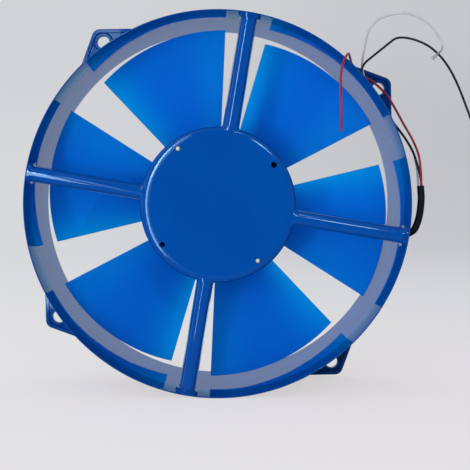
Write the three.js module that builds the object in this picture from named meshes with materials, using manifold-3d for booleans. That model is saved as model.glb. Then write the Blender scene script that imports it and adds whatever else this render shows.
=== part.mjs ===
// Axial fan: a round duct ring with four mounting ears, a four-armed motor seat,
// an outer-rotor motor and a six-blade impeller, with its three leads.
// The fan's axis is Y. The armed front faces -Y and the ears' rear faces lie on y = 0.
// Angles round the axis run from +Z towards +X, clockwise as seen from the front.

import * as THREE from 'three';
import { mergeVertices } from 'three/addons/utils/BufferGeometryUtils.js';
import Module from 'manifold-3d';

const wasm = await Module();
wasm.setup();

// Driving dimensions, in millimetres

// Duct ring
const ringOuterRadius = 104;
const ringWall = 2.6;
const ringDepth = 80;
const ringMouthRadius = 1.8;
const mouthWallShare = 0.7;
const ringEdgeChamfer = 0.5;

// Mounting ears on the rear rim
const earHoleOutset = 12.67;
const earHoleRadius = 3.6;
const earTipOffset = 3.5;
const earTipRadius = 4.8;
const earThickness = 5;
const earRimWidth = 1.8;
const earRimHeight = 1.3;
const earBossWall = 1.8;

// Motor seat in the middle of the arms
const seatRadius = 41.9;
const seatShoulder = 4.2;
const seatDepth = 20;
const seatWall = 1.9;
const seatPlate = 3;
const seatHoleInset = 3.2;

// Arms between the seat and the ring
const armCount = 4;
const armWidth = 8.1;
const armDepth = 12;
const armCrown = 3.6;
const channelWidth = 4.7;
const channelDepth = 5.4;

// Stator carrier and its screws
const carrierFlange = 3;
const carrierTubeWall = 2.5;
const carrierShoulder = 2.4;
const carrierTubeLip = 0.8;
const seatScrewRadius = 1.35;
const seatScrewHeadRadius = 2.6;
const seatScrewHead = 2;
const seatScrewRecess = 0.7;

// Bearings, shaft and their small parts
const shaftRadius = 4;
const bearingOuterRadius = 11;
const bearingWidth = 7;
const ballShare = 0.283;
const ballCount = 7;
const ballGap = 0.12;
const cageThickness = 1.1;
const cageWidth = 2.8;
const frontBearingSetback = 6.5;
const shaftFrontStub = 2;
const clipThickness = 0.8;
const clipWidth = 2;
const clipGrooveDepth = 0.4;
const clipOpeningAngle = 0.9;
const waveWasherThickness = 0.4;
const waveWasherHeight = 0.3;
const waveWasherWidth = 1.7;
const waveCount = 3;

// Stator and windings
const stackLength = 30;
const statorRadius = 30.5;
const statorYoke = 3.8;
const toothCount = 8;
const toothWidth = 7;
const shoeThickness = 2.4;
const shoeRim = 0.9;
const slotOpening = 2.4;
const insulatorThickness = 1.2;
const coilWidth = 3.1;
const coilRise = 4.9;
const coilCorner = 2.6;
const coilClearance = 0.9;

// Rotor
const airGap = 0.7;
const seatToCanGap = 2.5;
const seatToCoreGap = 10;
const rotorCoreWall = 6;
const canWall = 1.5;
const canEnd = 2;
const canCoilClearance = 1.45;
const canBossWall = 4;
const canBossLength = 10;
const canNoseLength = 1.7;

// Impeller
const hubWall = 2.7;
const hubWeb = 2.2;
const hubWebBore = 16;
const hubEdgeChamfer = 0.8;
const bladeCount = 6;
const bladeTipGap = 4.2;
const bladeSpanDegrees = 46;
const bladeFrontSetback = 35.5;
const bladeAxialDepth = 32.5;
const bladeThickness = 2.2;
const bladeEdgeThickness = 0.9;
const bladeCamber = 2.4;
const bladeRootSink = 1.6;
const impellerScrewCount = 4;
const impellerScrewCircle = 27;
const impellerScrewRadius = 1.5;
const impellerScrewHeadRadius = 3;
const impellerScrewHead = 2.1;
const impellerScrewTip = 0.5;

// Leads and their sleeve
const sleeveRadius = 1.95;
const leadRadius = 0.65;
const leadEndRadius = 0.42;
const sleevePassageClearance = 0.6;

// Fits: fitGap and seatGap between pieces seated in each other, holeClearance round a
// screw that passes through and threadGap round one that is screwed in
const fitGap = 0.15;
const seatGap = 0.3;
const holeClearance = 0.3;
const threadGap = 0.25;
const cutOverrun = 1;

// Facets round a full turn
const ringSides = 72;
const motorSides = 48;
const bearingSides = 24;
const holeSides = 16;
const screwSides = 10;
const leadSides = 8;
const ballSides = 8;
const ballBands = 6;
const mouthSteps = 4;
const shoulderSteps = 5;
const crownSteps = 8;
const tipSteps = 6;
const coilCornerSteps = 2;
const shoeSteps = 4;
const bladeChordSteps = 8;
const bladeSpanSteps = 5;

// Places that follow from the sizes above
const frontY = -ringDepth;
const quarterTurn = Math.PI / 2;
const eighthTurn = Math.PI / 4;
const armPitch = 2 * Math.PI / armCount;
const ringInnerRadius = ringOuterRadius - ringWall;
const mouthRadius = Math.min(ringMouthRadius, mouthWallShare * ringWall);
const earHoleCircle = ringOuterRadius + earHoleOutset;
const seatInnerRadius = seatRadius - seatWall;
const seatHoleCircle = seatInnerRadius - seatHoleInset;
const seatHoleRadius = seatScrewRadius + threadGap;
const flangeFrontY = frontY + seatPlate + seatGap;
const flangeRearY = flangeFrontY + carrierFlange;
const frontBearingY = frontY + frontBearingSetback;
const coreFrontY = frontY + seatDepth + seatToCoreGap;
const coreRearY = coreFrontY + stackLength;
const coilRearY = coreRearY + fitGap + insulatorThickness + seatGap + coilRise;
const canFrontY = frontY + seatDepth + seatToCanGap;
const canEndInnerY = coilRearY + canCoilClearance;
const canRearY = canEndInnerY + canEnd;
const canBossFrontY = canEndInnerY - canBossLength;
const canNoseFrontY = canBossFrontY - canNoseLength;
const rearBearingY = canNoseFrontY - seatGap - bearingWidth;
const canInnerRadius = statorRadius + airGap + rotorCoreWall + seatGap;
const canOuterRadius = canInnerRadius + canWall;
const hubInnerRadius = canOuterRadius + seatGap;
const hubRadius = hubInnerRadius + hubWall;
const hubRearY = canRearY + seatGap + hubWeb;
const bladeTipRadius = ringInnerRadius - bladeTipGap;
const carrierTubeRadius = bearingOuterRadius + carrierTubeWall;
const carrierMidBore = bearingOuterRadius - carrierShoulder;
const ballPitchRadius = (shaftRadius + bearingOuterRadius) / 2;
const ballRadius = ballShare * (bearingOuterRadius - shaftRadius);
const innerRingRadius = ballPitchRadius - ballRadius - ballGap;
const canBossRadius = shaftRadius + canBossWall;

// Solids and meshes

function toSolid(geometry) {
  const bare = geometry.clone();
  bare.deleteAttribute('normal');
  bare.deleteAttribute('uv');
  const merged = mergeVertices(bare);
  const corners = Array.from(merged.index.array);
  const kept = [];
  for (let i = 0; i < corners.length; i += 3) {
    const [a, b, c] = corners.slice(i, i + 3);
    if (a !== b && b !== c && c !== a) kept.push(a, b, c);
  }
  return new wasm.Manifold(new wasm.Mesh({
    numProp: 3,
    vertProperties: new Float32Array(merged.attributes.position.array),
    triVerts: new Uint32Array(kept),
  }));
}

function toGeometry(solid) {
  const mesh = solid.getMesh();
  const geometry = new THREE.BufferGeometry();
  geometry.setAttribute('position', new THREE.BufferAttribute(mesh.vertProperties, 3));
  geometry.setIndex(new THREE.BufferAttribute(mesh.triVerts, 1));
  return geometry;
}

function latheAboutAxis(profile, sides) {
  // profile is [radius, y] pairs, anticlockwise with the radius to the right
  const points = profile.map(([radius, y]) => new THREE.Vector2(radius, y));
  const onAxis = profile[0][0] === 0;
  if (!onAxis) points.push(points[0].clone());
  return new THREE.LatheGeometry(points, sides);
}

function ringBetween(innerRadius, outerRadius, y0, y1, sides) {
  const profile = [[innerRadius, y0], [outerRadius, y0], [outerRadius, y1], [innerRadius, y1]];
  return latheAboutAxis(profile, sides);
}

function rodAlongAxis(radius, y0, y1, sides) {
  return latheAboutAxis([[0, y0], [radius, y0], [radius, y1], [0, y1]], sides);
}

function arcPoints(centreX, centreY, radius, fromAngle, toAngle, steps) {
  const points = [];
  for (let i = 0; i <= steps; i += 1) {
    const angle = fromAngle + (toAngle - fromAngle) * i / steps;
    points.push([centreX + radius * Math.cos(angle), centreY + radius * Math.sin(angle)]);
  }
  return points;
}

function shapeFrom(points) {
  return new THREE.Shape(points.map(([x, y]) => new THREE.Vector2(x, y)));
}

function plateAcrossAxis(shape, thickness, rearY) {
  // The shape's x and y lie along X and Z, and the plate reaches forward from rearY
  const geometry = new THREE.ExtrudeGeometry(shape, { depth: thickness, bevelEnabled: false });
  geometry.rotateX(quarterTurn);
  geometry.translate(0, rearY, 0);
  return geometry;
}

function barOutwards(shape, fromRadius, toRadius) {
  // The shape's x and y lie along X and Y, and the bar runs out along +Z
  const geometry = new THREE.ExtrudeGeometry(shape, { depth: toRadius - fromRadius, bevelEnabled: false });
  geometry.translate(0, 0, fromRadius);
  return geometry;
}

function tubeAlong(route, radius, steps, sides) {
  const circle = [];
  for (let i = 0; i < sides; i += 1) {
    const angle = 2 * Math.PI * i / sides;
    circle.push([radius * Math.cos(angle), radius * Math.sin(angle)]);
  }
  const path = new THREE.CatmullRomCurve3(route.map(([x, y, z]) => new THREE.Vector3(x, y, z)));
  return new THREE.ExtrudeGeometry(shapeFrom(circle), { steps, extrudePath: path });
}

function rodAtCircle(circleRadius, angle, radius, y0, y1) {
  const geometry = rodAlongAxis(radius, y0, y1, screwSides);
  geometry.translate(0, 0, circleRadius);
  geometry.rotateY(angle);
  return geometry;
}

// Colours and finishes

const castBluePaint = { color: 0x0a4c9e, roughness: 0.25, metalness: 0 };
const blueNylon = { color: 0x0a60c8, roughness: 0.5, metalness: 0 };
const blueDippedSteel = { color: 0x0b56ae, roughness: 0.35, metalness: 0 };
const castAluminium = { color: 0xa9adb2, roughness: 0.45, metalness: 1 };
const electricalSteel = { color: 0x6d7074, roughness: 0.5, metalness: 1 };
const bearingSteel = { color: 0xbfc3c7, roughness: 0.2, metalness: 1 };
const zincedSteel = { color: 0xb7b98a, roughness: 0.3, metalness: 1 };
const windingEnamel = { color: 0x9a4a20, roughness: 0.35, metalness: 0.6 };
const insulatorResin = { color: 0xe6e2d2, roughness: 0.6, metalness: 0 };
const blackSleeving = { color: 0x141416, roughness: 0.5, metalness: 0 };
const redInsulation = { color: 0xc22a2e, roughness: 0.4, metalness: 0 };
const blackInsulation = { color: 0x121214, roughness: 0.4, metalness: 0 };
const whiteInsulation = { color: 0xd8d8dc, roughness: 0.4, metalness: 0 };
const tinnedCopper = { color: 0xb9b2a2, roughness: 0.35, metalness: 1 };

function piece(name, geometry, finish) {
  const mesh = new THREE.Mesh(geometry, new THREE.MeshStandardMaterial(finish));
  mesh.name = name;
  return mesh;
}

// Leads: each route is a hand-chosen list of points

const sleeveRoute = [
  [33, -71, 0],
  [45, -71, 0],
  [60, -71, 0],
  [75, -71, 0],
  [87, -71, 0],
  [94.5, -71, 0],
  [99.9, -71, 0],
  [103.8, -71, 1.3],
  [106.9, -70.8, 3.7],
  [109.2, -70.4, 7.2],
  [110.2, -69.8, 11.6],
  [109.6, -68.9, 17.5],
  [109, -68, 22.3],
  [108, -67, 27],
];

const redRoute = [
  [108.1, -67.75, 27.6],
  [107.6, -66.5, 32.5],
  [106.6, -65, 37],
  [104.3, -63, 44.5],
  [99.5, -61, 52.5],
  [93.5, -59, 60.5],
  [87.8, -58, 67.5],
  [82.6, -58, 73.5],
  [77.2, -58.7, 78],
  [72, -59.7, 81],
  [67, -61, 83.5],
  [62.3, -64, 86.5],
  [58.8, -71, 89],
  [57, -77, 90.5],
  [55.2, -82.5, 90.6],
  [53.7, -86.3, 88.5],
  [53, -88.3, 84],
  [53, -89, 78],
  [54, -89.2, 71.5],
  [55.5, -89.2, 64],
  [57, -89, 56.5],
  [58, -88.8, 48.5],
];

const blackRoute = [
  [108.7, -66.2, 27.5],
  [107.4, -64.8, 32.5],
  [105, -62.5, 38.5],
  [101.2, -60, 46],
  [97, -57, 52],
  [92.6, -53.5, 57],
  [86.7, -49, 63],
  [81.2, -44.5, 69.7],
  [76, -40.5, 76],
  [71.6, -37.5, 82],
  [69, -36, 87.3],
  [70, -35, 92],
  [73.5, -34.2, 97],
  [78.3, -34, 102.5],
  [83.5, -34.2, 107.3],
  [89.5, -35, 109.8],
  [95.8, -36, 109.6],
  [103.5, -37, 107.3],
  [110.8, -38, 103],
  [117.3, -39, 97],
  [123.3, -40, 89],
  [128.2, -41, 81],
  [132.4, -42, 72.3],
  [136, -43, 63.5],
  [139, -44, 55],
  [141.2, -44.6, 48],
];

const whiteRoute = [
  [107, -66.6, 27.2],
  [105.8, -64.4, 32.5],
  [103.6, -60.7, 38.5],
  [100, -56, 46],
  [95.6, -51.5, 53],
  [89.8, -45.5, 60.2],
  [83.6, -39.5, 68.3],
  [77.6, -34, 76.3],
  [72.6, -30, 83.5],
  [69.6, -28, 90],
  [68.8, -27, 96],
  [69, -26.6, 103],
  [70.3, -27, 111],
  [74, -28, 118.2],
  [80.2, -29, 123],
  [87.5, -30.3, 125],
  [94.5, -32, 124.2],
  [100.7, -34.3, 121],
  [105.8, -37, 116.2],
  [109, -39.7, 111.3],
  [110.2, -41.5, 108],
];

const whiteEndRoute = [
  [110.3, -41.7, 107.6],
  [109.8, -42, 106],
  [108.3, -42.7, 104],
  [106.9, -43.4, 102],
  [105.5, -44, 100],
];

const blackEndRoute = [
  [141.3, -44.7, 47.6],
  [142, -45, 45],
  [142.5, -45.2, 42.5],
  [142.9, -45.4, 40],
];

const sleeveSteps = 30;
const redSteps = 25;
const blackSteps = 32;
const whiteSteps = 27;
const leadEndSteps = 4;

// Housing: one casting of the ring, the ears, the arms and the motor seat

function ductRing() {
  const mouthX = ringInnerRadius + mouthRadius;
  const mouthCentreY = frontY + mouthRadius;
  const profile = [
    [mouthX, frontY],
    [ringOuterRadius - ringEdgeChamfer, frontY],
    [ringOuterRadius, frontY + ringEdgeChamfer],
    [ringOuterRadius, 0],
    [ringInnerRadius, 0],
  ];
  const mouth = arcPoints(mouthX, mouthCentreY, mouthRadius, Math.PI, 3 * quarterTurn, mouthSteps);
  return toSolid(latheAboutAxis([...profile, ...mouth.slice(0, -1)], ringSides));
}

function earOutline(ringReach, tipReach) {
  // Common tangents from the ring's circle to the rounded tip, and an arc back inside the wall
  const innerReach = ringReach - ringWall / 2;
  const tipCentre = earHoleCircle + earTipOffset;
  const lean = Math.acos((ringReach - tipReach) / tipCentre);
  const tip = arcPoints(0, tipCentre, tipReach, quarterTurn - lean, quarterTurn + lean, tipSteps);
  const root = arcPoints(0, 0, innerReach, quarterTurn + lean, quarterTurn - lean, tipSteps);
  const sideAngles = [quarterTurn + lean, quarterTurn - lean];
  const [farSide, nearSide] = sideAngles.map((angle) => [ringReach * Math.cos(angle), ringReach * Math.sin(angle)]);
  return shapeFrom([nearSide, ...tip, farSide, ...root]);
}

function mountingEar(angle) {
  const plate = plateAcrossAxis(earOutline(ringOuterRadius, earTipRadius), earThickness, 0);
  const pocketShape = earOutline(ringOuterRadius - earRimWidth, earTipRadius - earRimWidth);
  const pocketDepth = earRimHeight + cutOverrun;
  const pocketRearY = -(earThickness - earRimHeight);
  const boss = rodAlongAxis(earHoleRadius + earBossWall, -earThickness, 0, holeSides);
  const ringCylinder = rodAlongAxis(ringOuterRadius, -ringDepth, 0, ringSides);
  const hole = rodAlongAxis(earHoleRadius, -earThickness - cutOverrun, cutOverrun, holeSides);
  boss.translate(0, 0, earHoleCircle);
  hole.translate(0, 0, earHoleCircle);
  const pocket = toSolid(plateAcrossAxis(pocketShape, pocketDepth, pocketRearY))
    .subtract(toSolid(ringCylinder))
    .subtract(toSolid(boss));
  const ear = toSolid(plate).subtract(pocket).subtract(toSolid(hole));
  return ear.transform(new THREE.Matrix4().makeRotationY(angle).toArray());
}

function motorSeat() {
  const shoulderCentre = seatRadius - seatShoulder;
  const shoulder = arcPoints(
    shoulderCentre, frontY + seatShoulder, seatShoulder, -quarterTurn, 0, shoulderSteps);
  const profile = [
    [0, frontY],
    ...shoulder,
    [seatRadius, frontY + seatDepth],
    [seatInnerRadius, frontY + seatDepth],
    [seatInnerRadius, frontY + seatPlate],
    [0, frontY + seatPlate],
  ];
  return toSolid(latheAboutAxis(profile, motorSides));
}

function arm(angle) {
  const halfWidth = armWidth / 2;
  const section = [[halfWidth, frontY + armDepth], [-halfWidth, frontY + armDepth]];
  for (let i = 0; i <= crownSteps; i += 1) {
    const turn = Math.PI + Math.PI * i / crownSteps;
    section.push([halfWidth * Math.cos(turn), frontY + armCrown + armCrown * Math.sin(turn)]);
  }
  const fromRadius = seatRadius - seatWall / 2;
  const toRadius = ringOuterRadius - ringWall / 2;
  const bar = barOutwards(shapeFrom(section), fromRadius, toRadius);
  bar.rotateY(angle);
  return toSolid(bar);
}

function leadChannel(angle) {
  const halfWidth = channelWidth / 2;
  const floorY = frontY + armDepth - channelDepth;
  const openY = frontY + armDepth + cutOverrun;
  const section = [[-halfWidth, floorY], [halfWidth, floorY], [halfWidth, openY], [-halfWidth, openY]];
  const channel = barOutwards(shapeFrom(section), seatInnerRadius - cutOverrun, ringInnerRadius);
  channel.rotateY(angle);
  return toSolid(channel);
}

function housing() {
  let casting = ductRing();
  for (let i = 0; i < armCount; i += 1) {
    casting = casting.add(arm(i * armPitch));
    casting = casting.add(mountingEar((i + 1 / 2) * armPitch));
  }
  casting = casting.add(motorSeat());
  casting = casting.subtract(leadChannel(quarterTurn));
  const passageRadius = sleeveRadius + sleevePassageClearance;
  casting = casting.subtract(toSolid(tubeAlong(sleeveRoute, passageRadius, sleeveSteps, screwSides)));
  for (let i = 0; i < armCount; i += 1) {
    const angle = (i + 1 / 2) * armPitch;
    const hole = rodAtCircle(
      seatHoleCircle, angle, seatHoleRadius, frontY - cutOverrun, frontY + seatPlate + cutOverrun);
    casting = casting.subtract(toSolid(hole));
  }
  return piece('housing', toGeometry(casting), castBluePaint);
}

// Stator side of the motor

function statorCarrier() {
  const seatBore = bearingOuterRadius;
  const tubeRearY = rearBearingY + bearingWidth + carrierTubeLip;
  const frontShoulderY = frontBearingY + bearingWidth + seatGap;
  const rearShoulderY = rearBearingY - waveWasherThickness - 2 * waveWasherHeight - 2 * seatGap;
  const flangeRadius = seatInnerRadius - seatGap;
  const profile = [
    [seatBore, flangeFrontY],
    [flangeRadius, flangeFrontY],
    [flangeRadius, flangeRearY],
    [carrierTubeRadius, flangeRearY],
    [carrierTubeRadius, tubeRearY],
    [seatBore, tubeRearY],
    [seatBore, rearShoulderY],
    [carrierMidBore, rearShoulderY],
    [carrierMidBore, frontShoulderY],
    [seatBore, frontShoulderY],
  ];
  let carrier = toSolid(latheAboutAxis(profile, motorSides));
  for (let i = 0; i < armCount; i += 1) {
    const hole = rodAtCircle(
      seatHoleCircle,
      (i + 1 / 2) * armPitch,
      seatScrewRadius + holeClearance,
      flangeFrontY - cutOverrun,
      flangeRearY + cutOverrun,
    );
    carrier = carrier.subtract(toSolid(hole));
  }
  return piece('stator_carrier', toGeometry(carrier), castAluminium);
}

function seatScrew(name, angle) {
  const tipY = frontY + seatScrewRecess;
  const headY = flangeRearY + seatGap;
  const profile = [
    [0, tipY],
    [seatScrewRadius / 2, tipY],
    [seatScrewRadius, tipY + seatScrewRadius / 2],
    [seatScrewRadius, headY],
    [seatScrewHeadRadius, headY],
    [seatScrewHeadRadius, headY + seatScrewHead],
    [0, headY + seatScrewHead],
  ];
  const screw = piece(name, latheAboutAxis(profile, screwSides), zincedSteel);
  screw.position.set(seatHoleCircle * Math.sin(angle), 0, seatHoleCircle * Math.cos(angle));
  return screw;
}

function toothedOutline(outerRadius) {
  const boreRadius = carrierTubeRadius + seatGap;
  const yokeRadius = boreRadius + statorYoke;
  const shoeRootRadius = statorRadius - shoeThickness;
  const halfPitch = Math.PI / toothCount;
  const halfShoe = halfPitch - Math.asin(slotOpening / 2 / statorRadius);
  const points = [];
  for (let i = 0; i < toothCount; i += 1) {
    const middle = 2 * halfPitch * i;
    const atYoke = Math.asin(toothWidth / 2 / yokeRadius);
    const atShoe = Math.asin(toothWidth / 2 / shoeRootRadius);
    const rimRadius = outerRadius - shoeRim;
    const side = [[yokeRadius, atYoke], [shoeRootRadius, atShoe], [rimRadius, halfShoe]];
    for (const [radius, offset] of side) points.push([radius, middle - offset]);
    for (let k = 0; k <= shoeSteps; k += 1) {
      points.push([outerRadius, middle + halfShoe * (2 * k / shoeSteps - 1)]);
    }
    for (const [radius, offset] of side.reverse()) points.push([radius, middle + offset]);
  }
  const shape = shapeFrom(points.map(([radius, angle]) => [radius * Math.cos(angle), radius * Math.sin(angle)]));
  const bore = arcPoints(0, 0, boreRadius, 0, 2 * Math.PI, motorSides).slice(0, -1);
  shape.holes.push(new THREE.Path(bore.map(([x, y]) => new THREE.Vector2(x, y))));
  return shape;
}

function statorCore() {
  const stack = plateAcrossAxis(toothedOutline(statorRadius), stackLength, coreRearY);
  return piece('stator_core', stack, electricalSteel);
}

function endInsulator(name, rearY) {
  const plate = plateAcrossAxis(toothedOutline(statorRadius - shoeRim), insulatorThickness, rearY);
  return piece(name, plate, insulatorResin);
}

function roundedRectangle(halfWidth, halfHeight, corner, steps) {
  const x = halfWidth - corner;
  const y = halfHeight - corner;
  const corners = [[x, y, 0], [-x, y, 1], [-x, -y, 2], [x, -y, 3]];
  const points = [];
  for (const [cx, cy, quarter] of corners) {
    const from = quarter * quarterTurn;
    points.push(...arcPoints(cx, cy, corner, from, from + quarterTurn, steps));
  }
  return points;
}

function coil(index) {
  const innerHalfWidth = toothWidth / 2 + seatGap;
  const innerHalfHeight = stackLength / 2 + fitGap + insulatorThickness + seatGap;
  const outerHalfWidth = innerHalfWidth + coilWidth;
  const outerHalfHeight = innerHalfHeight + coilRise;
  const outline = shapeFrom(
    roundedRectangle(outerHalfWidth, outerHalfHeight, coilCorner, coilCornerSteps));
  const eye = [
    [-innerHalfWidth, -innerHalfHeight],
    [innerHalfWidth, -innerHalfHeight],
    [innerHalfWidth, innerHalfHeight],
    [-innerHalfWidth, innerHalfHeight],
  ];
  outline.holes.push(new THREE.Path(eye.map(([x, y]) => new THREE.Vector2(x, y))));
  const fromRadius = carrierTubeRadius + seatGap + statorYoke + coilClearance;
  const toRadius = statorRadius - shoeThickness - coilClearance;
  const mesh = piece(`coil_${index + 1}`, barOutwards(outline, fromRadius, toRadius), windingEnamel);
  mesh.position.y = (coreFrontY + coreRearY) / 2;
  mesh.rotation.y = quarterTurn + 2 * Math.PI * index / toothCount;
  return mesh;
}

// Bearings, shaft and small parts

function bearing(end, frontFaceY) {
  const rearFaceY = frontFaceY + bearingWidth;
  const outerRing = ringBetween(
    ballPitchRadius + ballRadius + ballGap, bearingOuterRadius - fitGap, frontFaceY, rearFaceY, bearingSides);
  const innerRing = ringBetween(
    shaftRadius + fitGap, innerRingRadius, frontFaceY, rearFaceY, bearingSides);
  return {
    outer: piece(`${end}_bearing_outer_ring`, outerRing, bearingSteel),
    inner: piece(`${end}_bearing_inner_ring`, innerRing, bearingSteel),
    balls: ballSet(`${end}_bearing_balls`, (frontFaceY + rearFaceY) / 2),
  };
}

function ballSet(name, middleY) {
  const cageInner = ballPitchRadius - cageThickness / 2;
  const cageOuter = ballPitchRadius + cageThickness / 2;
  let set = toSolid(ringBetween(cageInner, cageOuter, -cageWidth / 2, cageWidth / 2, bearingSides));
  for (let i = 0; i < ballCount; i += 1) {
    const ball = new THREE.SphereGeometry(ballRadius, ballSides, ballBands);
    ball.translate(0, 0, ballPitchRadius);
    ball.rotateY(2 * Math.PI * i / ballCount);
    set = set.add(toSolid(ball));
  }
  const mesh = piece(name, toGeometry(set), bearingSteel);
  mesh.position.y = middleY;
  return mesh;
}

function shaft() {
  const frontEndY = frontBearingY - shaftFrontStub;
  const grooveRearY = frontBearingY - fitGap / 2;
  const grooveFrontY = grooveRearY - clipThickness - fitGap;
  const grooveRadius = shaftRadius - clipGrooveDepth;
  const profile = [
    [0, frontEndY],
    [shaftRadius, frontEndY],
    [shaftRadius, grooveFrontY],
    [grooveRadius, grooveFrontY],
    [grooveRadius, grooveRearY],
    [shaftRadius, grooveRearY],
    [shaftRadius, canRearY],
    [0, canRearY],
  ];
  return piece('shaft', latheAboutAxis(profile, bearingSides), bearingSteel);
}

function shaftClip() {
  const innerRadius = shaftRadius - clipGrooveDepth + fitGap;
  const outerRadius = innerRadius + clipWidth;
  const from = quarterTurn + clipOpeningAngle / 2;
  const to = quarterTurn + 2 * Math.PI - clipOpeningAngle / 2;
  const outer = arcPoints(0, 0, outerRadius, from, to, bearingSides);
  const inner = arcPoints(0, 0, innerRadius, to, from, bearingSides);
  const plate = plateAcrossAxis(shapeFrom([...outer, ...inner]), clipThickness, frontBearingY - fitGap);
  return piece('shaft_clip', plate, bearingSteel);
}

function waveWasher() {
  const outerRadius = bearingOuterRadius - seatGap;
  const innerRadius = outerRadius - waveWasherWidth;
  const washer = ringBetween(innerRadius, outerRadius, 0, waveWasherThickness, bearingSides);
  const position = washer.attributes.position;
  for (let i = 0; i < position.count; i += 1) {
    const angle = Math.atan2(position.getX(i), position.getZ(i));
    position.setY(i, position.getY(i) + waveWasherHeight * Math.sin(waveCount * angle));
  }
  const mesh = piece('wave_washer', washer, bearingSteel);
  mesh.position.y = rearBearingY - seatGap - waveWasherHeight - waveWasherThickness;
  return mesh;
}

// Rotor

function rotorCan() {
  const boreRadius = shaftRadius + fitGap;
  const profile = [
    [boreRadius, canNoseFrontY],
    [innerRingRadius, canNoseFrontY],
    [innerRingRadius, canBossFrontY],
    [canBossRadius, canBossFrontY],
    [canBossRadius, canEndInnerY],
    [canInnerRadius, canEndInnerY],
    [canInnerRadius, canFrontY],
    [canOuterRadius, canFrontY],
    [canOuterRadius, canRearY],
    [boreRadius, canRearY],
  ];
  let can = toSolid(latheAboutAxis(profile, motorSides));
  for (const angle of impellerScrewAngles()) {
    const hole = rodAtCircle(
      impellerScrewCircle,
      angle,
      impellerScrewRadius + holeClearance,
      canEndInnerY - cutOverrun,
      canRearY + cutOverrun,
    );
    can = can.subtract(toSolid(hole));
  }
  return piece('rotor_can', toGeometry(can), blueDippedSteel);
}

function rotorCore() {
  const innerRadius = statorRadius + airGap;
  const ring = ringBetween(innerRadius, innerRadius + rotorCoreWall, coreFrontY, coreRearY, motorSides);
  return piece('rotor_core', ring, electricalSteel);
}

function impellerScrewAngles() {
  const angles = [];
  for (let i = 0; i < impellerScrewCount; i += 1) {
    angles.push(2 * Math.PI * (i + 1 / 2) / impellerScrewCount);
  }
  return angles;
}

function impellerScrew(index) {
  const angle = impellerScrewAngles()[index];
  const headY = hubRearY + seatGap;
  const tipY = canEndInnerY - impellerScrewTip;
  const profile = [
    [0, tipY],
    [impellerScrewRadius, tipY],
    [impellerScrewRadius, headY],
    [impellerScrewHeadRadius, headY],
    [impellerScrewHeadRadius, headY + impellerScrewHead / 2],
    [impellerScrewHeadRadius / 2, headY + impellerScrewHead],
    [0, headY + impellerScrewHead],
  ];
  const screw = piece(`impeller_screw_${index + 1}`, latheAboutAxis(profile, screwSides), zincedSteel);
  screw.position.set(impellerScrewCircle * Math.sin(angle), 0, impellerScrewCircle * Math.cos(angle));
  return screw;
}

function bladePoint(chordShare, radius, side) {
  // chordShare runs from -1 at the rear edge to 1 at the front edge
  const halfSpan = THREE.MathUtils.degToRad(bladeSpanDegrees / 2);
  const angle = chordShare * halfSpan;
  const middleY = frontY + bladeFrontSetback + bladeAxialDepth / 2;
  const fullness = 1 - chordShare * chordShare;
  const thickness = bladeEdgeThickness + (bladeThickness - bladeEdgeThickness) * fullness;
  const camber = bladeCamber * fullness;
  const y = middleY - chordShare * bladeAxialDepth / 2 - camber + side * thickness / 2;
  return new THREE.Vector3(radius * Math.sin(angle), y, radius * Math.cos(angle));
}

function blade() {
  // Two skins of points with walls between their edges, closed round the tip and the root
  const rootRadius = hubRadius - bladeRootSink;
  const rows = bladeSpanSteps + 1;
  const columns = bladeChordSteps + 1;
  const positions = [];
  for (const side of [-1, 1]) {
    for (let row = 0; row < rows; row += 1) {
      const radius = rootRadius + (bladeTipRadius - rootRadius) * row / bladeSpanSteps;
      for (let column = 0; column < columns; column += 1) {
        positions.push(...bladePoint(2 * column / bladeChordSteps - 1, radius, side).toArray());
      }
    }
  }
  const at = (skin, row, column) => skin * rows * columns + row * columns + column;
  const triangles = [];
  const quad = (a, b, c, d) => triangles.push(a, b, c, a, c, d);
  for (let row = 0; row < bladeSpanSteps; row += 1) {
    for (let column = 0; column < bladeChordSteps; column += 1) {
      quad(at(0, row, column), at(0, row, column + 1), at(0, row + 1, column + 1), at(0, row + 1, column));
      quad(at(1, row, column), at(1, row + 1, column), at(1, row + 1, column + 1), at(1, row, column + 1));
    }
    quad(at(0, row, 0), at(0, row + 1, 0), at(1, row + 1, 0), at(1, row, 0));
    const last = bladeChordSteps;
    quad(at(0, row, last), at(1, row, last), at(1, row + 1, last), at(0, row + 1, last));
  }
  for (let column = 0; column < bladeChordSteps; column += 1) {
    const top = bladeSpanSteps;
    quad(at(0, 0, column), at(1, 0, column), at(1, 0, column + 1), at(0, 0, column + 1));
    quad(at(0, top, column), at(0, top, column + 1), at(1, top, column + 1), at(1, top, column));
  }
  const geometry = new THREE.BufferGeometry();
  geometry.setAttribute('position', new THREE.Float32BufferAttribute(positions, 3));
  geometry.setIndex(triangles);
  return geometry;
}

function impeller() {
  const webFrontY = hubRearY - hubWeb;
  const profile = [
    [hubWebBore, webFrontY],
    [hubInnerRadius, webFrontY],
    [hubInnerRadius, coreFrontY],
    [hubRadius, coreFrontY],
    [hubRadius, hubRearY - hubEdgeChamfer],
    [hubRadius - hubEdgeChamfer, hubRearY],
    [hubWebBore, hubRearY],
  ];
  let moulding = toSolid(latheAboutAxis(profile, motorSides));
  const bladePitch = 2 * Math.PI / bladeCount;
  for (let i = 0; i < bladeCount; i += 1) {
    const turned = blade();
    turned.rotateY(bladePitch / 2 + i * bladePitch);
    moulding = moulding.add(toSolid(turned));
  }
  for (const angle of impellerScrewAngles()) {
    const hole = rodAtCircle(
      impellerScrewCircle,
      angle,
      impellerScrewRadius + holeClearance,
      webFrontY - cutOverrun,
      hubRearY + cutOverrun,
    );
    moulding = moulding.subtract(toSolid(hole));
  }
  return piece('impeller', toGeometry(moulding), blueNylon);
}

// Assembly

const frontBearing = bearing('front', frontBearingY);
const rearBearing = bearing('rear', rearBearingY);

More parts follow.
